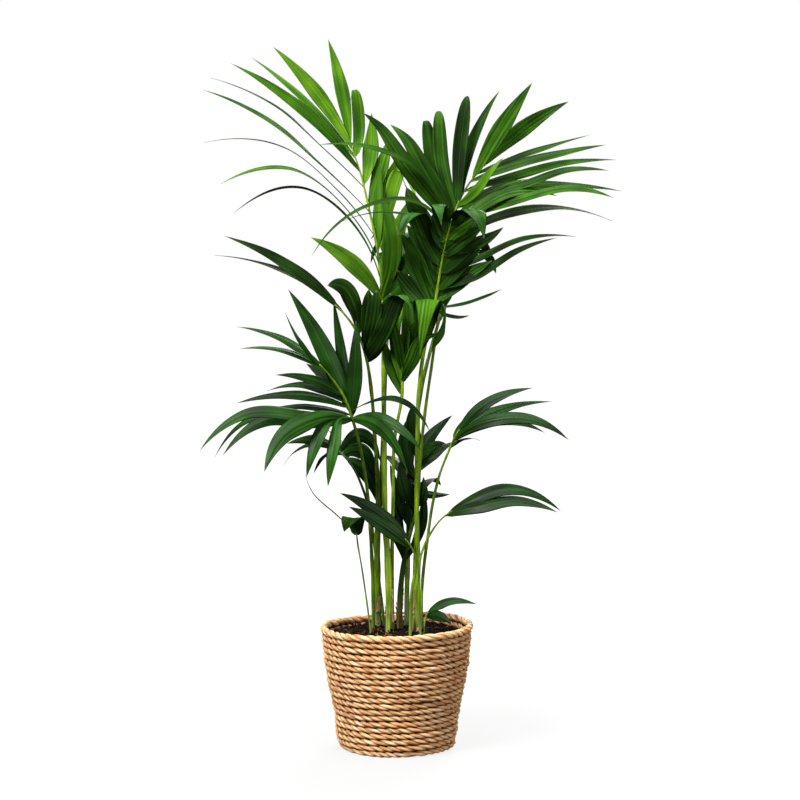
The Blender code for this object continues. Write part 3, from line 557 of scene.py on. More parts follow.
def soilBody():
    # Rings from the middle outwards over the mound, down beside the liner's top, and in to the bottom.
    angles = equalAngles(200)
    spread = (np.linspace(0, 1, 62)[1:] ** 0.9 * soil["wall"] * mm)[:, None]
    x, y = spread * np.cos(angles), spread * np.sin(angles)
    top = np.stack([x, y, soilHeight(x, y)], -1)
    radii = (soil["wall"], soil["inLiner"], *soil["bottomRing"])
    heights = (soil["linerTop"], soil["linerTop"], soil["bottom"], soil["bottom"])
    skirt = [roundAxis(radius, angles, height) * mm for radius, height in zip(radii, heights)]
    rings = np.concatenate([top, skirt])[::-1]
    tone = 0.29 + 0.12 * ripple(rings[..., :2], 0.02, 25)
    return tube(rings, np.zeros((len(rings), len(angles) + 1, 2)), {"tone": tone})


def crumbParts(draw, crumbs):
    # Lumps: a ball of 5 rings of 7 points, stretched three ways, dented by a ripple, and set on the soil.
    count = crumbs["count"]
    rows = np.radians((-72, -36, 0, 36, 72))[:, None]
    ball = roundAxis(np.cos(rows), equalAngles(7), np.sin(rows))
    out = np.sqrt(draw.uniform(0, 1, count)) * (soil["wall"] - soil["clear"]["crumbs"]) * mm
    turn = draw.uniform(0, fullTurn, count)
    x, y = out * np.cos(turn), out * np.sin(turn)
    size = draw.uniform(*crumbs["sizes"], count) ** 1.5 * mm
    stretch = draw.uniform(0.55, 1.35, (count, 3))
    spin = draw.uniform(0, fullTurn, count)[:, None, None]
    long, wide, high = np.moveaxis(ball * stretch[:, None, None, :] * size[:, None, None, None], -1, 0)
    cosine, sine = np.cos(spin), np.sin(spin)
    turned = np.stack([long * cosine - wide * sine, long * sine + wide * cosine, high], -1)
    centres = np.stack([x, y, soilHeight(x, y) + size * 0.25], -1)
    rings = turned + centres[:, None, None, :]
    rings = rings * (1 + 0.4 * mm * ripple(rings, 0.002, 31)[..., None])
    tones = draw.uniform(*crumbs["tones"], count)
    uv = np.zeros((ball.shape[0], ball.shape[1] + 1, 2))
    return [tube(ring, uv, {"tone": tone}) for ring, tone in zip(rings, tones)]


def fibreParts(draw):
    # Root hairs and grass ends: thin tapered tubes that lie on the soil in loose bends.
    parts = []
    for _ in range(soil["fibres"]):
        turn = draw.uniform(0, fullTurn)
        out = draw.uniform(0.25, 0.97) * (soil["wall"] - soil["clear"]["fibres"]) * mm
        start = np.array([math.cos(turn), math.sin(turn)]) * out
        heading = draw.uniform(0, fullTurn)
        length = draw.uniform(10, 34) * mm
        bends = np.cumsum(draw.uniform(-0.6, 0.6, 4)) + heading
        steps = np.stack([np.cos(bends), np.sin(bends)], 1) * length / 4
        flat = np.vstack([start, start + np.cumsum(steps, axis=0)])
        reach = np.linalg.norm(flat, axis=1).max()
        flat = flat * min(1, (soil["wall"] - soil["clear"]["tips"]) * mm / reach)
        high = soilHeight(flat[:, 0], flat[:, 1]) + draw.uniform(0.6, 3.5, 5) * mm
        path = smooth(np.column_stack([flat, high]), np.linspace(0, 1, 12))
        parts.append(thinTube(path, draw.uniform(0.25, 0.6) * mm, 5, {"tone": draw.uniform(0.8, 1.3)}))
    return parts


def makeSoil():
    # The mound, then its crumbs, chips and fibres from one run of random draws.
    earth = makeSoilMaterial()
    draw = np.random.default_rng(41)
    crumbs = crumbParts(draw, soil["crumbs"]) + crumbParts(draw, soil["chips"])
    putMesh("soil_fill", [soilBody()], [earth], "soil")
    putMesh("soil_crumbs", crumbs, [earth], "soil")
    putMesh("soil_fibres", fibreParts(draw), [earth], "soil")


makeSoil()
print("soil is filled in")


# Black nursery liner: blown polyethylene film, satin, with faint creases.

def makeLiner():
    material, tree, shader = newMaterial("polyethyleneFilm")
    place = addNode(tree, "TexCoord", out="Object")
    crease = addNode(tree, "TexNoise", {"Vector": place, "Scale": 60.0, "Detail": 3.0})
    colour = addNode(tree, "ValToRGB", {"Fac": crease}, stops=((0.3, "#0c0c0c"), (0.8, "#262422")))
    bump = addNode(tree, "Bump", {"Height": crease, "Strength": 0.4, "Distance": 1.0 * mm})
    setInputs(shader, {"Base Color": colour, "Normal": bump, "Roughness": 0.42})
    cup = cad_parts["liner"]
    cup.data.materials.clear()
    cup.data.materials.append(material)


makeLiner()
print("liner is finished")


# Living palm leaf: grown, pleated along its veins. Its upper skin is waxy and gives a deep, cool green with a
# grey sheen where it faces the light. Its underside is matt and warmer, and its green has stronger dark
# streaks along its length, partly its own and partly painted shade of its pleats.

leafSkins = {
    "kentiaLeafAbove": {
        "greens": ("#091a04", "#16350a", "#285513", "#42751b", "#6d9c23", "#a8c441"),
        "rib": "#4a7030",
        "roughness": (0.34, 0.48),
        "specular": 0.10,
        "streak": 0.46,
    },
    "kentiaLeafBelow": {
        "greens": ("#0a1a03", "#1b3a07", "#345e0b", "#578016", "#84a22c", "#b8ca48"),
        "rib": "#4f8420",
        "roughness": (0.50, 0.62),
        "specular": 0.06,
        "streak": 0.62,
    },
}


def makeLeafMaterial(name):
    skin = leafSkins[name]
    material, tree, shader = newMaterial(name)
    # UV holds the share along the leaflet and the place across it in cm.
    surface = addNode(tree, "UVMap", uv_map="surface")
    along, across = [addNode(tree, "SeparateXYZ", {"Vector": surface}, axis) for axis in ("X", "Y")]
    # Veins stand about 1 mm apart on the plant. They are drawn 2.1 mm apart, and the pleats 5.5 mm, to show.
    fine = addNode(tree, "Math", {0: across, 1: fullTurn / 0.21}, operation="MULTIPLY")
    vein = addNode(tree, "Math", {0: fine}, operation="SINE")
    broad = addNode(tree, "Math", {0: across, 1: fullTurn / 0.55}, operation="MULTIPLY")
    pleat = addNode(tree, "Math", {0: broad}, operation="COSINE")
    # The lot is a random number for each leaflet, so that no two have the same streaks.
    lot = addNode(tree, "Attribute", out="Fac", attribute_name="lot")
    shift = addNode(tree, "Math", {0: lot, 1: 97.0}, operation="MULTIPLY")
    own = addNode(tree, "CombineXYZ", {"X": along, "Y": across, "Z": shift})
    streak = streaks(tree, own, (1.2, 2.6, 1.0), 1.6)
    place = addNode(tree, "TexCoord", out="Object")
    patch = addNode(tree, "TexNoise", {"Vector": place, "Scale": 28.0, "Detail": 1.0})
    tone = addNode(tree, "Attribute", out="Fac", attribute_name="tone")
    level = addNode(tree, "Math", {0: tone, 1: -0.10 - skin["streak"] / 2}, operation="ADD")
    # The pleats also shift the green up and down by turns: painted light and shade across their folds.
    for pattern, weight in ((vein, 0.01), (pleat, 0.03), (streak, skin["streak"]), (patch, 0.20)):
        level = addNode(tree, "Math", {0: pattern, 1: weight, 2: level}, operation="MULTIPLY_ADD")
    dark, deep, mid, freshAndLit, bright, pale = skin["greens"]
    stops = ((0.0, dark), (1.0, pale), (0.2, deep), (0.4, mid), (0.6, freshAndLit), (0.8, bright))
    colour = addNode(tree, "ValToRGB", {"Fac": level}, stops=stops)
    rib = addNode(tree, "Math", {0: across}, operation="ABSOLUTE")
    # The midrib is 1.6 mm wide and paler. The base is yellower, and the last of the tip is dry.
    for value, low, high, most, hexCode in (
        (rib, 0.08, 0.0, 0.10, skin["rib"]),
        (along, 0.04, 0.0, 0.20, "#7fa52e"),
        (along, 0.965, 1.0, 0.75, "#6b6a45"),
    ):
        share = addNode(tree, "MapRange", {"Value": value, "From Min": low, "From Max": high, "To Max": most})
        laid = {"Factor": share, "A": colour, "B": hexCode}
        colour = addNode(tree, "Mix", laid, "Result", data_type="RGBA")
    relief = addNode(tree, "Math", {0: pleat, 1: 0.12, 2: streak}, operation="MULTIPLY_ADD")
    bump = addNode(tree, "Bump", {"Height": relief, "Strength": 0.3, "Distance": 0.4 * mm})
    least, most = skin["roughness"]
    patches = {"Value": patch, "From Min": 0.3, "From Max": 0.7, "To Min": least, "To Max": most}
    gloss = addNode(tree, "MapRange", patches)
    setInputs(shader, {"Base Color": colour, "Normal": bump, "Roughness": gloss})
    setInputs(shader, {"IOR": 1.44, "Specular IOR Level": skin["specular"]})
    return material


# Palm stalk: a grown, fibrous tube with a thin waxy skin. Yellow-green, streaked along its length, paler and
# bloomed low down, with brown scars where old sheaths sat.

def makeStalkMaterial():
    material, tree, shader = newMaterial("palmStalk")
    place = addNode(tree, "TexCoord", out="Object")
    streak = streaks(tree, place, (420.0, 420.0, 14.0), 3.0)
    stops = ((0.0, "#142606"), (1.0, "#c6d060"), (0.3, "#375408"), (0.6, "#68880e"), (0.8, "#94aa2c"))
    colour = addNode(tree, "ValToRGB", {"Fac": toned(tree, streak, 0.9, -0.47)}, stops=stops)
    high = addNode(tree, "SeparateXYZ", {"Vector": place}, "Z")
    bloom = addNode(tree, "MapRange", {"Value": high, "From Min": 0.25, "From Max": 0.19, "To Max": 0.26})
    stops = ((0.25, "#20140a"), (0.75, "#8a6a42"), (0.5, "#4c3420"))
    bark = addNode(tree, "ValToRGB", {"Fac": streak}, stops=stops)
    scar = addNode(tree, "Attribute", out="Fac", attribute_name="scar")
    for share, over in ((bloom, "#a0ac7a"), (scar, bark)):
        laid = {"Factor": share, "A": colour, "B": over}
        colour = addNode(tree, "Mix", laid, "Result", data_type="RGBA")
    bump = addNode(tree, "Bump", {"Height": streak, "Strength": 0.3, "Distance": 0.5 * mm})
    setInputs(shader, {"Base Color": colour, "Normal": bump, "Roughness": 0.42})
    setInputs(shader, {"IOR": 1.45, "Specular IOR Level": 0.28})
    return material


# Dry leaf sheath: the papery foot of an old leaf, torn to fibres at its top. Straw and brown, quite matt.

def makeSheathMaterial():
    material, tree, shader = newMaterial("drySheath")
    place = addNode(tree, "TexCoord", out="Object")
    streak = streaks(tree, place, (700.0, 700.0, 30.0), 4.0)
    stops = ((0.0, "#22140a"), (1.0, "#cbb083"), (0.35, "#4e331c"), (0.65, "#87643c"))
    straw = addNode(tree, "ValToRGB", {"Fac": toned(tree, streak, 1.1, -0.55)}, stops=stops)
    bump = addNode(tree, "Bump", {"Height": streak, "Strength": 0.6, "Distance": 0.5 * mm})
    setInputs(shader, {"Base Color": straw, "Normal": bump, "Roughness": 0.8})
    return material


# The plant. Its tables give places as the eye of the photograph sees them on the plane through the basket's
# axis, in cm: x to the right, z up, then the depth behind that plane.

# Leaflet forms: (width at the base, how hollow the widening is, where it is widest, how blunt it stays from
# there on, where the broad part ends).
forms = {
    "lance": (0.26, 1.0, 0.42, 1.9, 1.0),
    "spear": (0.20, 1.2, 0.56, 1.6, 1.0),
    "slim": (0.22, 1.0, 0.36, 1.7, 1.0),
    "broad": (0.30, 1.0, 0.45, 2.4, 1.0),
    "strap": (0.42, 1.0, 0.48, 3.0, 0.74),  # round at the top, where it bends back
    "flap": (0.42, 1.2, 0.66, 1.5, 1.0),  # widest at its bend, then a plain point
    "fan": (0.24, 1.2, 0.66, 3.4, 1.0),  # a wedge that stays wide to near its end
    "strip": (0.44, 1.0, 0.45, 3.2, 1.0),  # even in width, with a short point
    "blade": (0.62, 1.0, 0.42, 2.0, 1.0),  # wide at the rib, then one long point
    "hood": (0.14, 2.6, 0.60, 1.5, 1.0),  # a narrow neck, widest where it folds over
    "tail": (0.16, 2.0, 0.62, 2.0, 1.0),  # hangs, and is widest in its hanging part
}

plant = {
    "footTop": 199.5,  # where the stalks leave the soil, in mm
    "buried": 17.0,
    "stalkStep": 7.0,
    "stout": 3.5,  # a stalk with a thicker foot than this has old leaf scars and more points
    "edgeHalf": 0.4,  # half the width of the thinnest tip
    "leafThickness": 0.5,
    "fold": (0.20, 0.12),  # how steeply the sides fall from the midrib, at the base and at the tip
    "pleat": 0.032,  # height of the pleats, as a share of half the width
    "wave": 0.07,
    # Places from the midrib to the edge, and which way the pleat goes at each.
    "wideSide": ((0, 0.07, 0.2, 0.36, 0.52, 0.68, 0.84, 1.0), (0, 0, 1, -1, 1, -1, 1, 0)),
    "slimSide": ((0, 0.12, 0.35, 0.68, 1.0), (0, 0, 1, -1, 0.5)),
    "upperSheenLift": 0.24,  # how much paler the upper side is drawn on a frond that shows its underside: painted sheen and light on its bent-over tips
    "sheathFibres": 5,
}

# Each stalk starts at its foot in the soil: (x, depth, radius in mm). Its points are (x, z, depth, radius in
# mm), and the rib's go on from it. A leaflet is (place along the rib from 0 to 1, width in cm, turn at base,
# turn at tip, points). A turn is in degrees: at 0 the blade faces the front, and at 90 its upper side faces
# up. A leaflet may end with the name of its form, and how much brighter its green is drawn. Tones are the
# greens of leaf and stalk, from 0, dark, to 1, bright. Both are partly the plant's own colour and partly
# painted light and shade: higher on fronds lit through from behind and on leaflets that catch the light,
# lower on those in shade. A sheath is (its bottom above the soil and its top above the floor, in cm, the
# angle that it faces, with -90 at the front, its spread, tone). "below" is on fronds that turn their
# undersides to the front.
fronds = {
    "frond_tall_left": {
        "slot": "leaf_light", "form": "spear", "below": True, "tones": (0.46, 0.6), "foot": (-1.2, -1.1, 6.5),
        "sheaths": ((-0.5, 33.0, 5, 22, 0.3), (1.5, 27.0, -30, 16, 0.85), (-0.5, 24.5, 170, 40, 0.5)),
        "stalk": ((-1.4, 30, -1.0, 6.3), (-1.9, 38, -0.7, 4.9), (-2.1, 52, 0.2, 4.5), (-2.2, 66, 1.8, 3.6)),
        "rib": (
            (-2.3, 75.3, 3.2, 2.8), (-3.2, 84, 4.2, 2.3), (-4.6, 91, 5.2, 1.9), (-6.3, 97.9, 6.0, 1.5),
            (-8.0, 102.4, 6.8, 1.1),
        ),
        "leaflets": (
            (0.98, 2.4, 5, 15, ((-9.3, 111.5, 7.5), (-11.4, 119.2, 8))),
            (0.95, 2.6, 10, 25, ((-14.6, 111.8, 5), (-20.5, 117.9, 3))),
            (0.88, 1.5, 24, 44, ((-15.8, 109.5, 9), (-24.2, 116.2, 12)), "spear", -0.16),
            (0.8, 2.7, 30, 62, ((-15.4, 107.2, 2), (-27.6, 115.2, -3)), "spear", -0.1),
            (0.7, 2.2, 100, 66, ((-13, 101.8, 8), (-20, 107.9, 12), (-30.9, 112.8, 16)), "spear", -0.34),
            (0.55, 2.2, 95, 62, ((-13, 98.6, 0), (-22, 106.1, -4), (-32.2, 110.8, -8)), "spear", -0.2),
            (0.4, 2.0, 104, 62, ((-9.8, 94.0, 6), (-19, 101.3, 9), (-32.1, 102.1, 12)), "spear", -0.3),
            (0.22, 2.2, 108, 76, ((-7.2, 89.5, 2), (-18, 97.7, -2), (-29.4, 95.2, -6)), "spear", -0.2),
            (0.1, 2.2, 104, 72, ((-5.6, 86, 5), (-16, 94.5, 10), (-27.2, 90.4, 15)), "spear", -0.3),
            (0.0, 3.0, 15, 20, ((-7.4, 81.9, 1), (-14.4, 86.3, -1))),
            (0.9, 2.3, 5, 10, ((-6.3, 104.5, 9), (-7.1, 110.8, 10.5), (-7.9, 107.5, 14)), "strap"),
            (0.72, 2.8, 0, 10, ((-4.4, 100, 8), (-4.2, 107, 9))),
            (0.58, 2.6, 0, 0, ((-3.0, 96.5, 7.5), (-0.9, 103.5, 8.5))),
            (0.45, 2.8, 0, 10, ((-2.2, 93, 8.5), (1.0, 101.0, 10))),
            (0.32, 2.6, 10, 0, ((-1.6, 91, 6.5), (0.8, 97.6, 7), (3.4, 92.0, 5)), "flap"),
            (0.05, 3.6, 0, 10, ((-0.7, 84.5, 1.5), (-2.2, 92.8, 2.0))),
            (0.18, 2.8, 10, 0, ((-0.4, 86.0, 4), (2.4, 93, 6))),
            (0.0, 2.9, 0, 10, ((0.5, 80.2, 2.2), (3.0, 85.4, 2.8)), "spear", -0.26),
            (0.0, 2.8, 0, 10, ((1.8, 77.6, 3.0), (5.6, 81.2, 4.0)), "spear", -0.36),
            (0.0, 1.7, 176, 170, ((0.9, 77.6, 0.2), (3.9, 81.3, -0.4)), "blade", -0.24),
            (0.3, 1.8, 0, 10, ((-2.9, 93.0, 6.0), (-2.7, 98.6, 7.0)), "spear", -0.04),
        ),
    },
    "frond_tall_right": {
        "slot": "leaf_dark", "form": "broad", "below": True, "tones": (0.18, 0.45), "foot": (2.7, 1.8, 2.8),
        "stalk": ((3.4, 38.3, 2.0, 2.8), (4.4, 53.6, 2.0, 2.7), (6.2, 67, 1.4, 2.5), (7.4, 76, 1.0, 2.3)),
        "rib": (
            (8.4, 83, 1.0, 2.2), (9.2, 88.5, 1.5, 2.0), (10.4, 92.2, 2.2, 1.8), (12.2, 95.4, 3.0, 1.6),
            (14.3, 98.0, 3.8, 1.3), (16.4, 100.0, 4.5, 1.0),
        ),
        "leaflets": (
            (0.38, 2.7, 10, 20, ((6.3, 98, 3.5), (4.8, 105.7, 5.5), (4.4, 101, 9.5)), "strap"),
            (0.4, 2.6, 5, 10, ((7.5, 99, 3.5), (7.0, 107.3, 5.5), (6.9, 102.5, 9.5)), "strap"),
            (0.46, 2.6, 5, 10, ((10.6, 101, 3), (11.9, 109.8, 4.5), (12.3, 105.5, 8.5)), "strap"),
            (0.55, 2.3, 30, 40, ((13.2, 103.5, 4.5), (17.2, 110.7, 5)), "spear"),
            (0.72, 3.0, 5, 15, ((16.6, 103.0, 2), (22.6, 112.0, 0)), "spear", 0.05),
            (0.86, 2.8, 5, 10, ((21.3, 104.5, 4), (28.7, 108.9, 3)), "spear", 0.03),
            (0.76, 2.2, 55, 72, ((22, 100.2, 6), (32.1, 103.3, 9))),
            (0.68, 2.4, 50, 62, ((22, 98.8, 1), (34.9, 101.7, -2))),
            (0.58, 2.6, 48, 65, ((21, 96.8, 5), (30, 98.9, 7), (36.7, 99.2, 9))),
            (0.48, 2.4, 50, 62, ((21, 94.9, -2), (29, 97.5, -5), (35.4, 97.4, -8))),
            (0.42, 2.8, 42, 70, ((18.5, 94.2, 2), (28, 94.9, 2), (37.6, 94.0, 3))),
            (0.33, 2.6, 52, 66, ((19, 92.0, -4), (29, 94.4, -8), (36.2, 92.9, -12))),
            (0.12, 3.0, 48, 66, ((17, 89.6, 4), (27, 91.2, 8), (36.1, 89.0, 12)), "broad", 0.0),
            (0.45, 1.7, 0, 10, ((14.0, 94.8, -1.2), (15.5, 97.0, -1.8), (17.9, 99.6, -2)), "lance", 0.28),
            (0.18, 2.4, 45, 55, ((13.4, 90.8, -2), (19.4, 93.8, -3), (26.8, 93.2, -4)), "broad", 0.02),
            (0.28, 1.8, 45, 60, ((12.6, 92.0, 0), (17.0, 94.6, 0), (22.0, 96.0, 0)), "spear", -0.02),
            (0.3, 3.0, 5, 30, ((1.6, 98.2, -1), (-3.0, 104.8, -2), (-5.6, 107.0, -4)), "broad", 0.02),
            (0.34, 2.8, 10, 10, ((4.2, 98.2, 0.5), (1.6, 102.6, 0.8), (-1.1, 105.1, 2.0))),
            (0.22, 1.8, 70, 84, ((0.5, 99.5, -4), (-5, 101.4, -6), (-13, 101.7, -8))),
        ),
    },
    "frond_front": {
        "slot": "leaf_dark", "form": "fan", "below": True, "tones": (0.11, 0.58), "foot": (3.2, -2.2, 5.9),
        "sheaths": ((3.0, 27.4, -140, 22, 0.7), (-0.5, 21.2, -60, 30, 0.9), (-0.5, 24.8, 100, 50, 0.45)),
        "stalk": (
            (3.4, 25, -2.2, 5.6), (3.5, 33, -2.2, 4.9), (3.4, 42, -2.2, 3.7), (3.5, 52, -2.4, 3.7),
            (3.9, 62, -3.0, 3.5), (4.9, 69, -3.8, 3.1),
        ),
        "rib": (
            (6.3, 74.5, -4.6, 2.4), (7.2, 80, -5.5, 1.9), (8.0, 84.5, -6.5, 1.5), (8.8, 87.5, -8, 1.2),
            (9.2, 89.3, -10, 0.9),
        ),
        "leaflets": (
            (0.45, 4.0, 0, 5, ((5.5, 84.9, -6.0), (3.2, 90.2, -8.0), (2.4, 90.3, -10.6), (0.2, 86.5, -12.6)),
             "flap", 0.0),
            (0.18, 2.6, 0, 0, ((5.3, 82.4, -5.2), (3.4, 85.9, -6.2), (1.7, 88.4, -7.0)), "strip", 0.05),
            (0.03, 2.6, 0, 0, ((4.9, 79.1, -4.4), (3.0, 83.2, -6.0), (0.7, 86.9, -8.6)), "strip"),
            (0.75, 2.8, 5, 10, ((7.4, 90.0, -8.6), (7.1, 91.8, -10.4), (7.1, 91.5, -12.6), (7.5, 88.3, -14)),
             "flap", 0.0),
            (0.88, 3.6, 0, 0, ((10.4, 89.6, -9.6), (12.0, 91.0, -11.4),
             (13.1, 90.8, -13.8), (14.7, 86.0, -15.4)), "flap", 0.0),
            (0.35, 2.8, 0, 5, ((6.1, 84.8, -5.6), (4.9, 88.2, -6.6)), "strip", -0.02),
            (0.6, 2.4, 10, 20, ((12.4, 84.9, -6), (17.9, 88.0, -6)), "blade"),
            (0.35, 1.7, 40, 62, ((13.8, 82.8, -4), (21.5, 86.1, -5), (30.0, 86.4, -6)), "slim", -0.04),
            (0.2, 2.0, 38, 52, ((13.3, 79.8, -6), (20.2, 84.0, -9), (26.8, 86.2, -13)), "slim", -0.04),
            (0.08, 3.0, 15, 30, ((10.6, 79.0, -4.8), (16.0, 82.4, -7)), "blade"),
            (0.0, 1.1, 50, 70, ((11.5, 75.2, -5), (17.5, 77.6, -4))),
            (0.0, 1.1, 50, 60, ((9.8, 72.9, -5), (12.2, 73.2, -6))),
            (0.02, 3.4, 10, 40, ((8.0, 74.6, -6.5), (8.1, 71.6, -8), (5.9, 67.6, -8.5))),
            (0.8, 2.2, 62, 72, ((2.5, 92.4, -6), (-5.0, 91.4, -7), (-14.2, 83.2, -9)), "lance", 0.06),
            (0.7, 2.0, 64, 76, ((2.0, 89.8, -5), (-9.3, 88.9, -3)), "lance", 0.02),
            (0.74, 3.0, 0, 10, ((10.4, 88.0, -7.8), (13.7, 89.8, -8.0)), "blade", 0.03),
            (0.56, 3.1, 0, 10, ((10.4, 85.7, -7.0), (14.5, 88.0, -7.0)), "blade", -0.03),
            (0.38, 3.1, 0, 10, ((10.2, 83.4, -6.2), (14.6, 86.3, -6.0)), "blade", 0.03),
            (0.2, 3.0, 0, 10, ((9.7, 80.9, -5.4), (14.0, 84.0, -5.0)), "blade", -0.04),
            (0.03, 2.8, 5, 15, ((8.8, 78.2, -4.6), (12.6, 81.2, -4.0)), "blade", 0.02),
            (0.8, 2.4, 0, 0, ((8.6, 88.6, -7.8), (8.6, 91.4, -8.4)), "strip", 0.02),
            (0.62, 2.6, 0, 10, ((7.1, 87.0, -6.6), (6.0, 90.2, -7.0)), "strip", 0.04),
            (0.26, 2.6, 0, 0, ((6.0, 83.0, -4.8), (4.0, 87.4, -5.2)), "strip", -0.04),
            (0.1, 2.4, 0, 0, ((5.9, 79.4, -4.0), (4.2, 83.2, -4.4)), "strip", 0.02),
            (0.0, 3.2, 0, 0, ((4.0, 76.2, -3.0), (0.2, 80.8, -2.4)), "strip", -0.04),
            (0.04, 3.0, 0, 0, ((4.6, 78.6, -2.8), (1.2, 83.8, -2.2)), "strip", -0.02),
            (0.7, 3.0, 0, 0, ((3.6, 90.6, -4.4), (1.4, 95.2, -3.0), (0.6, 97.4, -0.8)), "strap", 0.06),
        ),
    },
    "frond_mid_left": {
        "slot": "leaf_dark", "form": "fan", "below": True, "tones": (0.06, 0.42), "foot": (-3.3, 3.8, 6.0),
        "sheaths": ((2.4, 25.2, -70, 34, 0.8), (0.4, 26.5, 50, 40, 0.3), (-0.5, 20.9, -80, 46, 0.85)),
        "stalk": ((-3.3, 33, 3.4, 5.6), (-3.2, 45, 1.8, 3.6), (-3.7, 53, 0, 3.2), (-4.2, 60, -1.5, 3.0)),
        "rib": ((-5.1, 66, -3.0, 2.6), (-6.4, 70, -4.0, 2.2), (-8.4, 73, -4.8, 1.8), (-10.3, 75, -5.4, 1.2)),
        "leaflets": (
            (0.95, 2.6, 30, 60, ((-18.5, 81.6, -6), (-28.8, 86.5, -8)), "lance"),
            (0.8, 2.2, 55, 75, ((-18.5, 80.3, -1), (-30.5, 83.3, 2)), "lance"),
            (0.4, 3.2, 10, 60, ((-7.3, 75.2, -5), (-9.2, 78.0, -6.5), (-11.6, 78.2, -8))),
            (0.1, 2.8, 0, 10, ((-4.1, 71.5, -6), (-3.4, 77.4, -7))),
            (0.02, 3.6, 0, 0, ((-2.2, 70.8, -6.6), (0.2, 76.4, -7.6), (1.0, 76.6, -9.4), (2.6, 74.0, -10.4)),
             "flap"),
            (0.06, 2.3, 0, 10, ((-3.0, 70.9, -5.8), (-1.0, 77.0, -6.2)), "fan", 0.05),
            (0.2, 2.2, 0, 10, ((-4.9, 72.6, -5), (-4.7, 77.6, -5.4))),
            (-0.06, 1.5, 0, 10, ((-3.2, 67.4, -3.6), (-1.2, 70.4, -4.2)), "lance"),
        ),
    },
    "frond_low_left": {
        "slot": "leaf_dark", "tones": (0.13, 0.46), "foot": (-4.0, 1.9, 3.0),
        "stalk": ((-4.3, 34, 1.0, 3.0), (-5.2, 45.5, -1, 2.8), (-6.6, 52.8, -3.2, 2.6)),
        "rib": (
            (-7.4, 55.6, -4.2, 2.6), (-8.6, 59, -5.2, 2.2), (-10.8, 62.5, -6.4, 1.7), (-13, 65, -7.4, 1.1),
        ),
        "leaflets": (
            (0.15, 3.2, 10, 20, ((-12.9, 69.0, -5), (-18.2, 77.6, -4))),
            (0.1, 2.0, 10, 25, ((-9.3, 67, -3), (-10.6, 76.0, -1))),
            (0.05, 2.6, 5, 15, ((-7.0, 64.5, -6), (-6.8, 72.3, -5))),
            (0.9, 2.2, 50, 65, ((-18.5, 69.0, -6), (-26.8, 71.3, -4))),
            (0.8, 1.8, 68, 80, ((-18.5, 67.2, -10), (-26.3, 67.6, -13))),
            (0.98, 1.6, 60, 70, ((-15.8, 68.3, -9), (-18.7, 73.7, -10))),
            (0.45, 2.4, 30, 30, ((-12.3, 63.2, -3), (-15.2, 65.1, -1))),
            (0.4, 2.2, 45, 70, ((-14.5, 62.6, -8.5), (-20.4, 63.2, -10))),
            (0.28, 2.2, 45, 70, ((-15.5, 61.6, -5), (-21.8, 60.5, -4))),
            (0.2, 2.2, 55, 70, ((-17.5, 59.9, -10), (-27.0, 58.4, -13))),
            (0.08, 2.0, 60, 75, ((-15.5, 57.9, -7), (-23.0, 57.1, -8))),
            (0.03, 2.6, 40, 50, ((-15, 56.3, -11), (-25.5, 56.6, -14), (-33.2, 50.4, -17)), "spear", 0.08),
            (0.02, 2.2, 50, 55, ((-14.5, 55.8, -3), (-24.5, 55.9, -2), (-30.7, 49.2, -1))),
            (0.0, 2.8, 35, 45, ((-14, 55.4, -7), (-22, 55.6, -9.5), (-29.3, 49.6, -12))),
            (0.0, 3.3, 35, 15, ((-14.0, 55.9, -12), (-19.3, 52.8, -16), (-22.3, 46.8, -19)), "tail", 0.14),
            (0.0, 2.3, 30, 10, ((-11.2, 55.8, -9), (-13.7, 51.5, -13), (-15.2, 45.9, -14)), "tail", 0.14),
            (0.0, 2.2, 30, 5, ((-9.6, 55.6, -8), (-10.6, 51.5, -11.5), (-11.6, 44.3, -12.5)), "tail", 0.14),
            (0.12, 1.6, 92, 50, ((-4.2, 58.8, -6), (-0.4, 59.3, -7), (5.6, 53.6, -8)), "spear"),
            (0.03, 2.1, 45, 40, ((-1.8, 55.5, -9), (4.3, 50.3, -12)), "lance", 0.05),
            (0.0, 2.7, 40, 20, ((-2.6, 54.2, -11), (1.9, 46.6, -15)), "lance", 0.08),
        ),
    },
    "frond_low_right": {
        "slot": "leaf_dark", "tones": (0.12, 0.5), "foot": (4.2, 0.9, 2.8),
        "stalk": ((4.3, 27, 0.3, 2.8), (5.3, 36, -1.4, 2.6), (6.2, 42, -2.8, 2.4), (7.3, 46.5, -3.8, 2.2)),
        "rib": ((8.8, 50.4, -4.5, 2.0), (9.6, 52.3, -5, 1.6), (10.6, 54, -5.5, 1.1)),
        "leaflets": (
            (0.9, 2.0, 20, 50, ((14.2, 57.8, -6.5), (22.9, 61.0, -7.5))),
            (0.8, 2.0, 25, 50, ((16.2, 57.0, -3), (26.1, 58.7, -1))),
            (0.5, 2.3, 42, 45, ((15, 55.3, -8), (22.5, 55.8, -10), (29.0, 52.2, -12))),
            (0.4, 2.0, 55, 50, ((14.5, 54.8, -5), (20, 55.3, -5.5), (25.0, 53.4, -6))),
            (0.1, 1.6, 60, 70, ((11.5, 52.5, -3), (14.1, 52.1, -2))),
            (0.55, 2.4, 40, 60, ((13.0, 56.6, 2), (19.0, 58.0, 9))),
        ),
    },
    "frond_young": {
        "slot": "leaf_light", "form": "broad", "below": True, "tones": (0.46, 0.6), "foot": (-0.7, 0.9, 3.2),
        "stalk": ((-0.75, 34, 0.6, 3.2), (-0.6, 42, -0.2, 3.0), (-0.3, 52.8, -1.2, 2.8)),
        "rib": ((0.9, 59.8, -2.0, 2.6), (1.0, 62, -2.3, 2.3), (1.2, 64.5, -2.6, 1.8), (1.6, 67, -3, 1.2)),
        "leaflets": (
            (0.0, 2.2, 5, 15, ((-0.9, 64.6, -2.5), (-2.4, 69.5, -3)), "spear", -0.14),
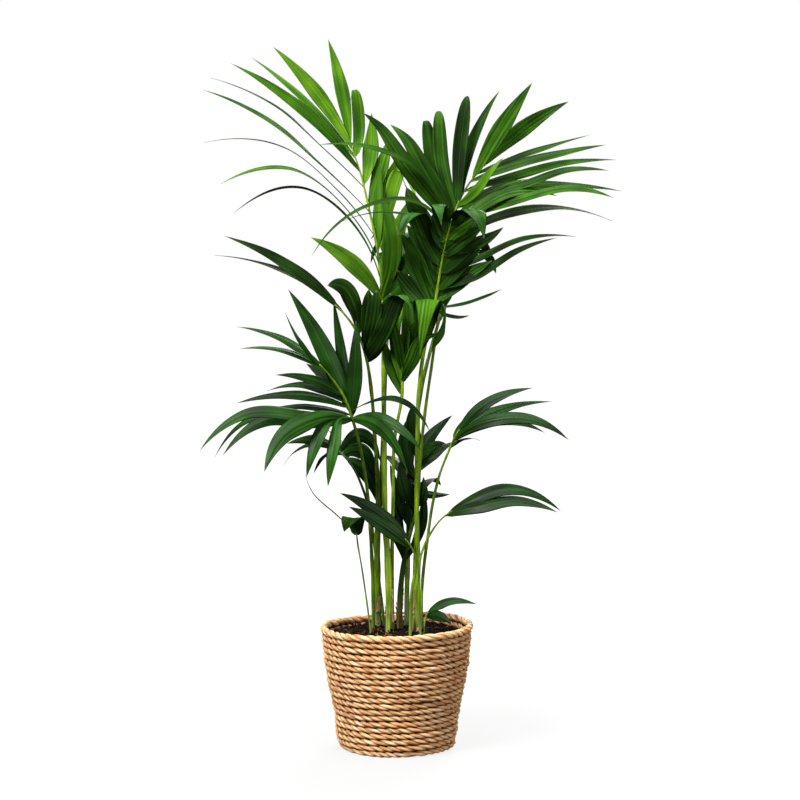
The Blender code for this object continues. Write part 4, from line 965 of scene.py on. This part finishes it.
            (0.9, 1.6, 0, 10, ((1.5, 69.5, -4), (1.4, 73.4, -4.5)), "spear"),
            (0.5, 2.0, 5, 10, ((0.2, 68.5, -4.5), (-0.8, 73, -5.5)), "spear", -0.22),
            (0.3, 2.4, 5, 10, ((2.6, 65.6, -5), (4.6, 69.4, -6.5), (7.4, 70.0, -7.4)), "spear", -0.32),
            (0.5, 5.0, 0, 0, ((4.3, 69.5, -6), (5.2, 75.9, -7.8), (5.2, 75.9, -9.6), (3.8, 66.0, -11.2)),
             "hood", -0.37),
            (0.86, 2.7, 0, 10, ((2.2, 71.2, -2.2), (1.8, 77.6, -1.6)), "strip", -0.16),
            (0.2, 1.6, 0, 10, ((-0.1, 66.4, -3.4), (-1.4, 71.4, -4.2)), "spear", -0.05),
            (0.95, 1.2, 0, 10, ((2.2, 69.4, -3.6), (3.0, 72.6, -3.8)), "spear", -0.2),
            (0.6, 1.7, 0, 10, ((0.4, 74.0, -1.6), (3.2, 79.0, -1.2)), "spear", -0.04),
        ),
    },
    "frond_shade_left": {
        "slot": "leaf_dark", "tones": (0.08, 0.25), "foot": (-2.2, 5.8, 2.6),
        "stalk": ((-3.6, 33, 6.5, 2.5), (-5.2, 42.5, 6.5, 2.3)),
        "rib": ((-8.2, 48.8, 7, 2.0), (-9.6, 50.2, 8, 1.6), (-11, 51, 9.5, 1.1)),
        "leaflets": (
            (0.9, 2.4, 60, 55, ((-15.2, 51.4, 12), (-19.0, 48.0, 15))),
            (0.6, 2.2, 60, 60, ((-13.5, 52.2, 5), (-18.5, 51.6, 3))),
            (0.3, 2.6, 40, 40, ((-11.5, 50.2, 14), (-14.0, 46.5, 20))),
            (0.2, 2.4, 40, 50, ((-9.5, 52.0, 12), (-12, 54, 19))),
            (0.05, 2.4, 40, 50, ((-7.5, 51.5, 13), (-6.0, 51, 21))),
            (0.08, 2.6, 10, 10, ((-5.9, 47.4, 6.4), (-3.4, 41.6, 6.8))),
            (0.3, 2.8, 10, 10, ((-6.4, 50.4, 6.2), (-3.6, 45.6, 6.0))),
            (0.5, 2.6, 15, 20, ((-6.0, 53.0, 7.0), (-2.7, 48.5, 7.4))),
        ),
    },
    "frond_shade_right": {
        "slot": "leaf_dark", "tones": (0.06, 0.22), "foot": (0.6, 3.2, 5.0),
        "sheaths": ((3.0, 27.2, -20, 22, 0.8), (-0.5, 24.0, 150, 50, 0.3)),
        "stalk": ((1.0, 30, 3.4, 4.4), (2.2, 36, 3.6, 3.2)),
        "rib": ((3.2, 40, 4.0, 2.6), (3.4, 43.5, 4.5, 2.2), (3.4, 47.5, 5.5, 1.7), (3.2, 50.5, 7, 1.1)),
        "leaflets": (
            (0.9, 2.8, 0, 10, ((2.6, 54.5, 7), (2.6, 58.2, 7))),
            (0.85, 2.2, 20, 30, ((5.8, 53, 8), (9.4, 56.4, 10))),
            (0.75, 2.2, 50, 50, ((5.6, 51.0, 5), (8.3, 51.6, 3))),
            (0.63, 2.2, 40, 45, ((6.0, 49.6, 7), (10.0, 52.0, 11))),
            (0.3, 1.7, 50, 60, ((5.6, 43, 6), (9.0, 43.0, 8))),
            (0.5, 2.6, 0, 10, ((1.4, 50, 4), (1.6, 55.5, 4)), "spear"),
            (0.1, 2.2, 0, 10, ((4.2, 42.5, 2.5), (4.5, 46, 3))),
            (0.05, 2.6, 10, 20, ((1.6, 43.5, 2.5), (0.6, 48.9, 2)), "spear"),
            (0.4, 2.8, 40, 40, ((0.2, 48.5, 10), (-2, 49.5, 17))),
            (0.2, 2.8, 40, 40, ((5.2, 45.5, 11), (7.5, 44.5, 18))),
            (-0.8, 1.8, 0, 0, ((4.1, 37.4, 3.0), (4.3, 44.9, 2.8)), "spear"),
            (-0.8, 1.9, 10, 20, ((-0.1, 35.6, 2.6), (-2.2, 36.3, 2.0)), "lance"),
            (-0.3, 1.8, 0, 10, ((0.6, 41.6, 5.2), (-1.1, 48.2, 6.4)), "spear"),
            (-0.6, 1.8, 0, 10, ((0.2, 38.6, 5.0), (-0.3, 45.2, 5.6)), "spear"),
            (-0.4, 2.0, 0, 10, ((2.5, 42.0, 4.6), (2.0, 48.6, 5.6)), "spear"),
        ),
    },
    "leaf_split_right": {
        "slot": "leaf_dark", "tones": (0.06, 0.5), "foot": (4.0, -4.0, 2.2),
        "stalk": ((3.8, 28, -3.9, 2.1), (4.1, 32.5, -3.8, 2.0), (5.6, 36.1, -4.2, 1.8)),
        "rib": ((8.0, 39.2, -5, 1.5), (9.5, 40.2, -5.3, 1.2)),
        "leaflets": (
            (0.5, 2.6, 42, 55, ((13.2, 42.3, -6), (18.3, 43.9, -7), (27.8, 40.1, -9))),
            (0.2, 2.7, 42, 55, ((14, 41.0, -7.5), (20, 41.9, -8.5), (27.2, 39.9, -10.5))),
        ),
    },
    "leaf_split_left": {
        "slot": "leaf_dark", "tones": (0.06, 0.45), "foot": (2.3, -3.8, 2.4),
        "stalk": ((2.6, 27, -3.9, 2.3),),
        "rib": ((3.3, 32.2, -4.1, 2.0), (2.6, 33.8, -4.4, 1.7), (1.4, 35.5, -4.7, 1.3)),
        "leaflets": (
            (0.7, 2.6, 20, 30, ((-2.8, 39.6, -5.5), (-9.6, 43.2, -7))),
            (0.5, 2.6, 20, 30, ((-2.5, 37.9, -6.2), (-8.1, 40.9, -8))),
        ),
    },
    "leaf_bent_left": {
        "slot": "leaf_dark", "form": "broad", "tones": (0.22, 0.5), "foot": (-4.4, -2.2, 1.6),
        "stalk": ((-5.1, 25, -2.4, 1.5), (-5.9, 30.5, -2.7, 1.4)),
        "rib": ((-6.7, 35.5, -3.0, 1.3), (-6.8, 36.6, -3.1, 1.0)),
        "leaflets": (
            (0.5, 3.7, 0, 0, ((-6.9, 38.2, -3.4), (-7.2, 39.0, -4.4), (-7.8, 38.6, -5.4), (-8.9, 36.6, -5.8)),
             "flap"),
            (0.9, 0.3, 60, 60, ((-10.2, 39.6, -2.4), (-14.4, 43.7, -2.2), (-15.4, 46.4, -2))),
        ),
    },
    "leaf_base_right": {
        "slot": "leaf_dark", "tones": (0.24, 0.75), "foot": (4.7, -1.4, 1.6),
        "stalk": (),
        "rib": ((4.9, 22.0, -1.8, 1.4), (5.3, 22.9, -2.1, 1.1)),
        "leaflets": (
            (0.9, 1.9, 50, 60, ((8.6, 24.7, -3), (13.6, 24.2, -4)), "slim", -0.1),
            (0.3, 1.8, 20, 30, ((7.2, 22.2, -3.6), (9.3, 20.9, -5)), "lance", -0.16),
        ),
    },
    "frond_back_left": {
        "slot": "leaf_dark", "tones": (0.2, 0.32), "foot": (-3.5, 6.3, 4.0),
        "stalk": ((-3.2, 33, 7.4, 3.8), (-2.5, 48, 9, 3.6), (-2.0, 60, 11, 3.2)),
        "rib": (
            (-1.6, 69, 13.5, 2.8), (-0.9, 77, 17.5, 2.4), (-0.6, 82.5, 22.5, 2.0), (-0.6, 85, 28, 1.6),
            (-0.8, 84.8, 33, 1.1),
        ),
        "fan": {"pairs": 8, "length": 12.2, "width": 2.8, "seed": 5},
    },
    "frond_back_right": {
        "slot": "leaf_dark", "tones": (0.18, 0.32), "foot": (1.7, 5.4, 4.5),
        "stalk": ((1.9, 33, 7.5, 4.2), (2.7, 50, 10, 3.8), (4.6, 63, 11.5, 3.4)),
        "rib": (
            (7.0, 72, 13, 2.8), (8.8, 79, 16.5, 2.4), (10.2, 83, 21, 2.0), (11.4, 84.6, 26.5, 1.6),
            (12.4, 84, 31.5, 1.1),
        ),
        "fan": {"pairs": 8, "length": 10.4, "width": 2.8, "seed": 8},
    },
}


aboveSkin, stalkSkin, sheathSkin, belowSkin = range(4)  # their places among a frond's materials


def inSight(points):
    # Rows of (x, z, depth) in cm, as the eye sees them, become world points on the same lines of sight.
    rows = np.array(points, float)
    eye = np.array(view["eye"])
    flat = np.stack([rows[:, 0] * cm, np.zeros(len(rows)), rows[:, 1] * cm], 1)
    reach = 1 + rows[:, 2:3] * cm / -eye[1]
    return eye + (flat - eye) * reach


def stalkPoints(frond):
    # Stalk and rib as rows of x, y, z and radius in metres, from the soil to the end of the rib.
    x, depth, radius = frond["foot"]
    rows = np.array(frond["stalk"] + frond["rib"], float)
    foot = (x * cm, depth * cm, plant["footTop"] * mm, radius * mm)
    return np.vstack([foot, np.column_stack([inSight(rows[:, :3]), rows[:, 3] * mm])])


def shareOfRib(frond, along):
    # The share of the whole stalk's length at a place along the rib.
    at = lengthTo(stalkPoints(frond))
    start = at[1 + len(frond["stalk"])] / at[-1]
    return start + (1 - start) * along


def fanLeaflets(frond):
    # Leaflets left and right by turns, a little longer towards the rib's end, falling to their tips.
    fan = frond["fan"]
    draw = np.random.default_rng(fan["seed"])
    leaflets = []
    for place in range(2 * fan["pairs"]):
        side = 1 if place % 2 else -1
        share = place / (2 * fan["pairs"] - 1)
        whole = shareOfRib(frond, 0.98 * share)
        near = smooth(stalkPoints(frond)[:, :3], [whole - 0.01, whole])
        forward = unit(near[1] - near[0])
        across = unit(np.cross(forward, (0, 0, 1)) * side + forward * (1.6 + 1.2 * share))
        length = fan["length"] * cm * (0.84 + 0.12 * share) * draw.uniform(0.90, 1.08)
        lift = np.array([0, 0, draw.uniform(0.10, 0.22)])
        droop = np.array([0, 0, draw.uniform(0.16, 0.34)])
        through = (near[1] + length * (0.5 * across + 0.5 * lift), near[1] + length * (0.96 * across - droop))
        face = (0.0, -0.35, 1.0)
        leaflets.append((0.98 * share, fan["width"], side * 6, side * 20, through, face, "lance", 0))
    return leaflets


def leafletsOf(frond):
    # A frond's rows with their points in the world, and with the form and green that a row leaves out.
    if "fan" in frond:
        return fanLeaflets(frond)
    front = (0.0, -1.0, 0.0)
    leaflets = []
    for along, width, base, tip, points, *own in frond["leaflets"]:
        form = own[0] if own else frond.get("form", "lance")
        freshAndLit = own[1] if len(own) > 1 else 0
        leaflets.append((along, width, base, tip, inSight(points), front, form, freshAndLit))
    return leaflets


def leafletWidth(form, shares):
    # The share of the full width along a leaflet. It widens by a sine to its widest place, then narrows by
    # 1 - t ** point. A form whose broad part ends early keeps a thin tail beyond it.
    root, hollow, widest, point, last = forms[form]
    widening = root + (1 - root) * np.sin(math.pi / 2 * np.clip(shares / widest, 0, 1)) ** hollow
    narrowing = 1 - np.clip((shares - widest * 0.8) / (last - widest * 0.8), 0, 1) ** point
    tail = 0.14 if last < 1 else 0
    return widening * (narrowing * (1 - tail) + tail * (1 - shares)) * (1 - 0.5 * rise(0.06, 0.0, shares))


def leafletPart(frond, leaflet, seed):
    # A blade carried along its curve. Across it, v runs from -1 to 1: the sides fall away from the midrib as
    # -fold * |v|, lengthwise pleats go up and down by turns, and the edges wave along the length. The skin
    # goes over the top from edge to edge and back below, a little apart.
    along, width, baseTurn, tipTurn, through, face, form, freshAndLit = leaflet
    below = frond.get("below", False)
    folded = form in ("flap", "hood")
    draw = np.random.default_rng(seed)
    start = smooth(stalkPoints(frond)[:, :3], [shareOfRib(frond, along)])
    t = np.linspace(0, 1, 44 if len(through) > 2 else 34)
    shares = 0.75 * t + 0.25 * (0.5 - 0.5 * np.cos(math.pi * t))  # closer together at both ends
    share = shares[:, None]
    middle = smooth(np.vstack([start, through]), shares)
    tangents = unit(np.gradient(middle, shares, axis=0))
    flat = unit(face - (tangents @ face)[:, None] * tangents) if form == "tail" else carried(face, tangents)
    hand = 1 if middle[-1, 0] < middle[0, 0] else -1
    turn = np.radians(baseTurn + (tipTurn - baseTurn) * share)
    normals = flat * np.cos(turn) + hand * np.cross(tangents, flat) * np.sin(turn)
    sides = np.cross(tangents, normals)
    if folded:
        # It folds over along a level line: its width runs along x there, and its other side shows.
        sides = unit(sides + ((1, 0, 0) - sides) * rise(0.15, 0.45, share))
        normals = unit(np.cross(sides, tangents))
    half = width * cm / 2 * leafletWidth(form, shares) + plant["edgeHalf"] * mm * (1 - 0.6 * shares**4)
    half = half[:, None]
    right, pleats = np.array(plant["wideSide" if width > 1.4 else "slimSide"])
    v = np.concatenate([-right[:0:-1], right])
    pleat = np.concatenate([pleats[:0:-1], pleats]) * (0.25 if folded else 1)
    baseFold, tipFold = plant["fold"]
    fold = (baseFold + (tipFold - baseFold) * share) * draw.uniform(0.6, 1.4) * (-1 if below else 1)
    phase = draw.uniform(0, 1, 2)
    left = np.sin(fullTurn * (1.6 * share + phase[0]))
    other = np.sin(fullTurn * (1.9 * share + phase[1]))
    wave = plant["wave"] * np.where(v < 0, left, other) * np.abs(v) ** 2.5 * np.sin(math.pi * share)
    height = wave - fold * (np.sqrt(v**2 + 0.004) - 0.063) + plant["pleat"] * pleat * rise(0, 0.12, share)
    rib = 0.35 * mm * np.exp(-((v / 0.07) ** 2)) * (1 - 0.7 * share)
    thick = plant["leafThickness"] * mm * (0.25 + 0.75 * (1 - np.abs(v))) * (1 + 1.6 * rise(0.10, 0.0, share))
    place = middle[:, None, :] + sides[:, None, :] * (v * half)[..., None]
    top = place + normals[:, None, :] * (height * half + rib + thick / 2)[..., None]
    under = place + normals[:, None, :] * (height * half - thick / 2)[..., None]
    rings = np.concatenate([top, under[:, -2:0:-1]], 1)
    across = v * half / cm
    uv = paired(share, np.concatenate([across, across[:, -2:0:-1], across[:, :1]], 1))
    front, back = (belowSkin, aboveSkin) if below else (aboveSkin, belowSkin)
    if form == "hood":
        # The young leaf that hangs over has no wax yet, so both its sides are matt.
        front = back = belowSkin
    skins = np.repeat([front, back], len(v) - 1)
    # Its green: the frond's tone and the leaflet's own lift, partly the leaf's colour and partly painted
    # light and shade, with a random share.
    tone = frond["tones"][0] + freshAndLit + draw.uniform(-0.06, 0.07) + 0.04 * rise(0.35, 0.0, share)
    tone = tone + 0.04 * ripple(rings, 0.06, seed + 3)
    # Where a leaflet that shows its underside bends over, its upper side is drawn paler: painted sheen and
    # light where the bent tips face up.
    tone = tone + plant["upperSheenLift"] * below * (np.arange(rings.shape[1]) >= len(v))
    return tube(rings, uv, {"tone": tone, "scar": 0.0, "lot": draw.uniform(0, 1)}, skins)


def stalkLine(frond, count):
    # Rows of the stalk with the frame of each: to the right, and away from the viewer.
    rows = smooth(stalkPoints(frond), np.linspace(0, 1, count))
    tangents = unit(np.gradient(rows[:, :3], axis=0))
    tangents[0] = (0, 0, 1)
    right = carried((1, 0, 0), tangents)
    return rows, right, np.cross(tangents, right)


def stalkPart(frond, seed):
    # A tube with a shallow channel on its upper side, faint ribs, and three rings more down in the soil.
    count = max(14, int(lengthTo(stalkPoints(frond))[-1] / (plant["stalkStep"] * mm)))
    rows, right, away = [np.concatenate([grid[:1].repeat(3, 0), grid]) for grid in stalkLine(frond, count)]
    rows[:3, 2] -= np.arange(3, 0, -1) * plant["buried"] / 3 * mm
    stout = frond["foot"][2] > plant["stout"]
    angles = equalAngles(20 if stout else 14)
    share = np.linspace(0, 1, len(rows))[:, None]
    channel = -0.16 * np.exp(-((np.cos((angles - 1.2) / 2) ** 2 - 1) ** 2) / 0.02) * rise(0.25, 0.5, share)
    ribs = 0.022 * np.cos(7 * angles + 1.5 * np.sin(3 * share))
    girth = 1 + channel + ribs + 0.05 * ripple(rows[:, 2:3], 0.07, seed)[:, None]
    rings = rows[:, None, :3] + ringRound(angles, right, away) * (rows[:, 3:4] * girth)[..., None]
    tone = frond["tones"][1] + 0.06 * ripple(rings, 0.05, seed + 1)
    low = rise(0.26, 0.205, rings[..., 2])
    scar = (1.0 if stout else 0.4) * low * rise(0.1, 0.7, ripple(rings * (1, 1, 0.35), 0.012, seed + 2))
    uv = paired(share, np.linspace(0, 1, len(angles) + 1))
    return tube(rings, uv, {"tone": tone, "scar": scar, "lot": 0.0}, stalkSkin)


def sheathParts(frond, seed):
    # Papery wraps that hug the stalk. Each is an arc whose spread shrinks upwards to a torn point, with a
    # few loose fibres at its top.
    parts = []
    draw = np.random.default_rng(seed)
    rows, right, away = stalkLine(frond, 400)
    share = np.linspace(0, 1, 26)[:, None]
    v = np.linspace(-1, 1, 11)
    for low, high, facing, spread, tone in frond.get("sheaths", ()):
        heights = np.linspace(plant["footTop"] * mm + low * cm, high * cm, 26)
        stalk, sideways, inwards = [
            np.stack([np.interp(heights, rows[:, 2], column) for column in grid.T], -1)
            for grid in (rows, right, away)
        ]
        shrink = (1 - share**1.6) ** 0.8 + 0.04
        torn = 0.12 * ripple(share, 0.12, seed + int(facing))[:, None] * rise(0.2, 0.6, share)
        half = np.radians(spread) * np.clip(shrink + torn, 0.03, None)
        angle = np.radians(facing) + 0.5 * share**2 * draw.uniform(-1, 1) + v * half
        gap = (0.5 + 1.4 * share**2 * draw.uniform(0.3, 1.0)) * mm
        gap = gap + 0.35 * mm * ripple(paired(angle, share * 6), 1.0, seed + 7)
        skin = stalk[:, 3:4] + gap
        hug = np.concatenate([skin + 0.25 * mm, (skin - 0.25 * mm)[:, ::-1]], 1)
        angles = np.concatenate([angle, angle[:, ::-1]], 1)
        centre = stalk[:, :3]
        rings = centre[:, None, :] + ringRound(angles, sideways, inwards) * hug[..., None]
        rings[..., 2] += 0.9 * mm * ripple(angles[..., None], 0.5, seed + 9)
        layers = {"tone": tone, "scar": 0.0, "lot": 0.0}
        parts.append(tube(rings, np.zeros((26, 23, 2)), layers, sheathSkin))
        for _ in range(plant["sheathFibres"]):
            where = int(draw.integers(12, 24))
            edge = rings[where, int(draw.integers(0, 11))]
            out = unit(edge - centre[where]) * (1, 1, 0)
            tip = edge + out * draw.uniform(0.5, 2.5) * mm + np.array([0, 0, draw.uniform(2, 9)]) * mm
            path = smooth([edge, (edge + tip) / 2 + out * 0.5 * mm, tip], np.linspace(0, 1, 8))
            fibre = layers | {"tone": tone + 0.2}
            parts.append(thinTube(path, draw.uniform(0.18, 0.4) * mm, 4, fibre, sheathSkin))
    return parts


def makePlant():
    # One mesh for each frond, of its stalk, its leaflets and its sheaths.
    above, below = [makeLeafMaterial(name) for name in leafSkins]
    materials = [above, makeStalkMaterial(), makeSheathMaterial(), below]
    for number, (name, frond) in enumerate(fronds.items()):
        seed = 1000 + 100 * number
        parts = [stalkPart(frond, seed)]
        parts += [leafletPart(frond, leaflet, seed + 5 * k) for k, leaflet in enumerate(leafletsOf(frond))]
        parts += sheathParts(frond, seed + 90)
        putMesh(name + "_living", parts, materials, name)


makePlant()
print("plant is grown")
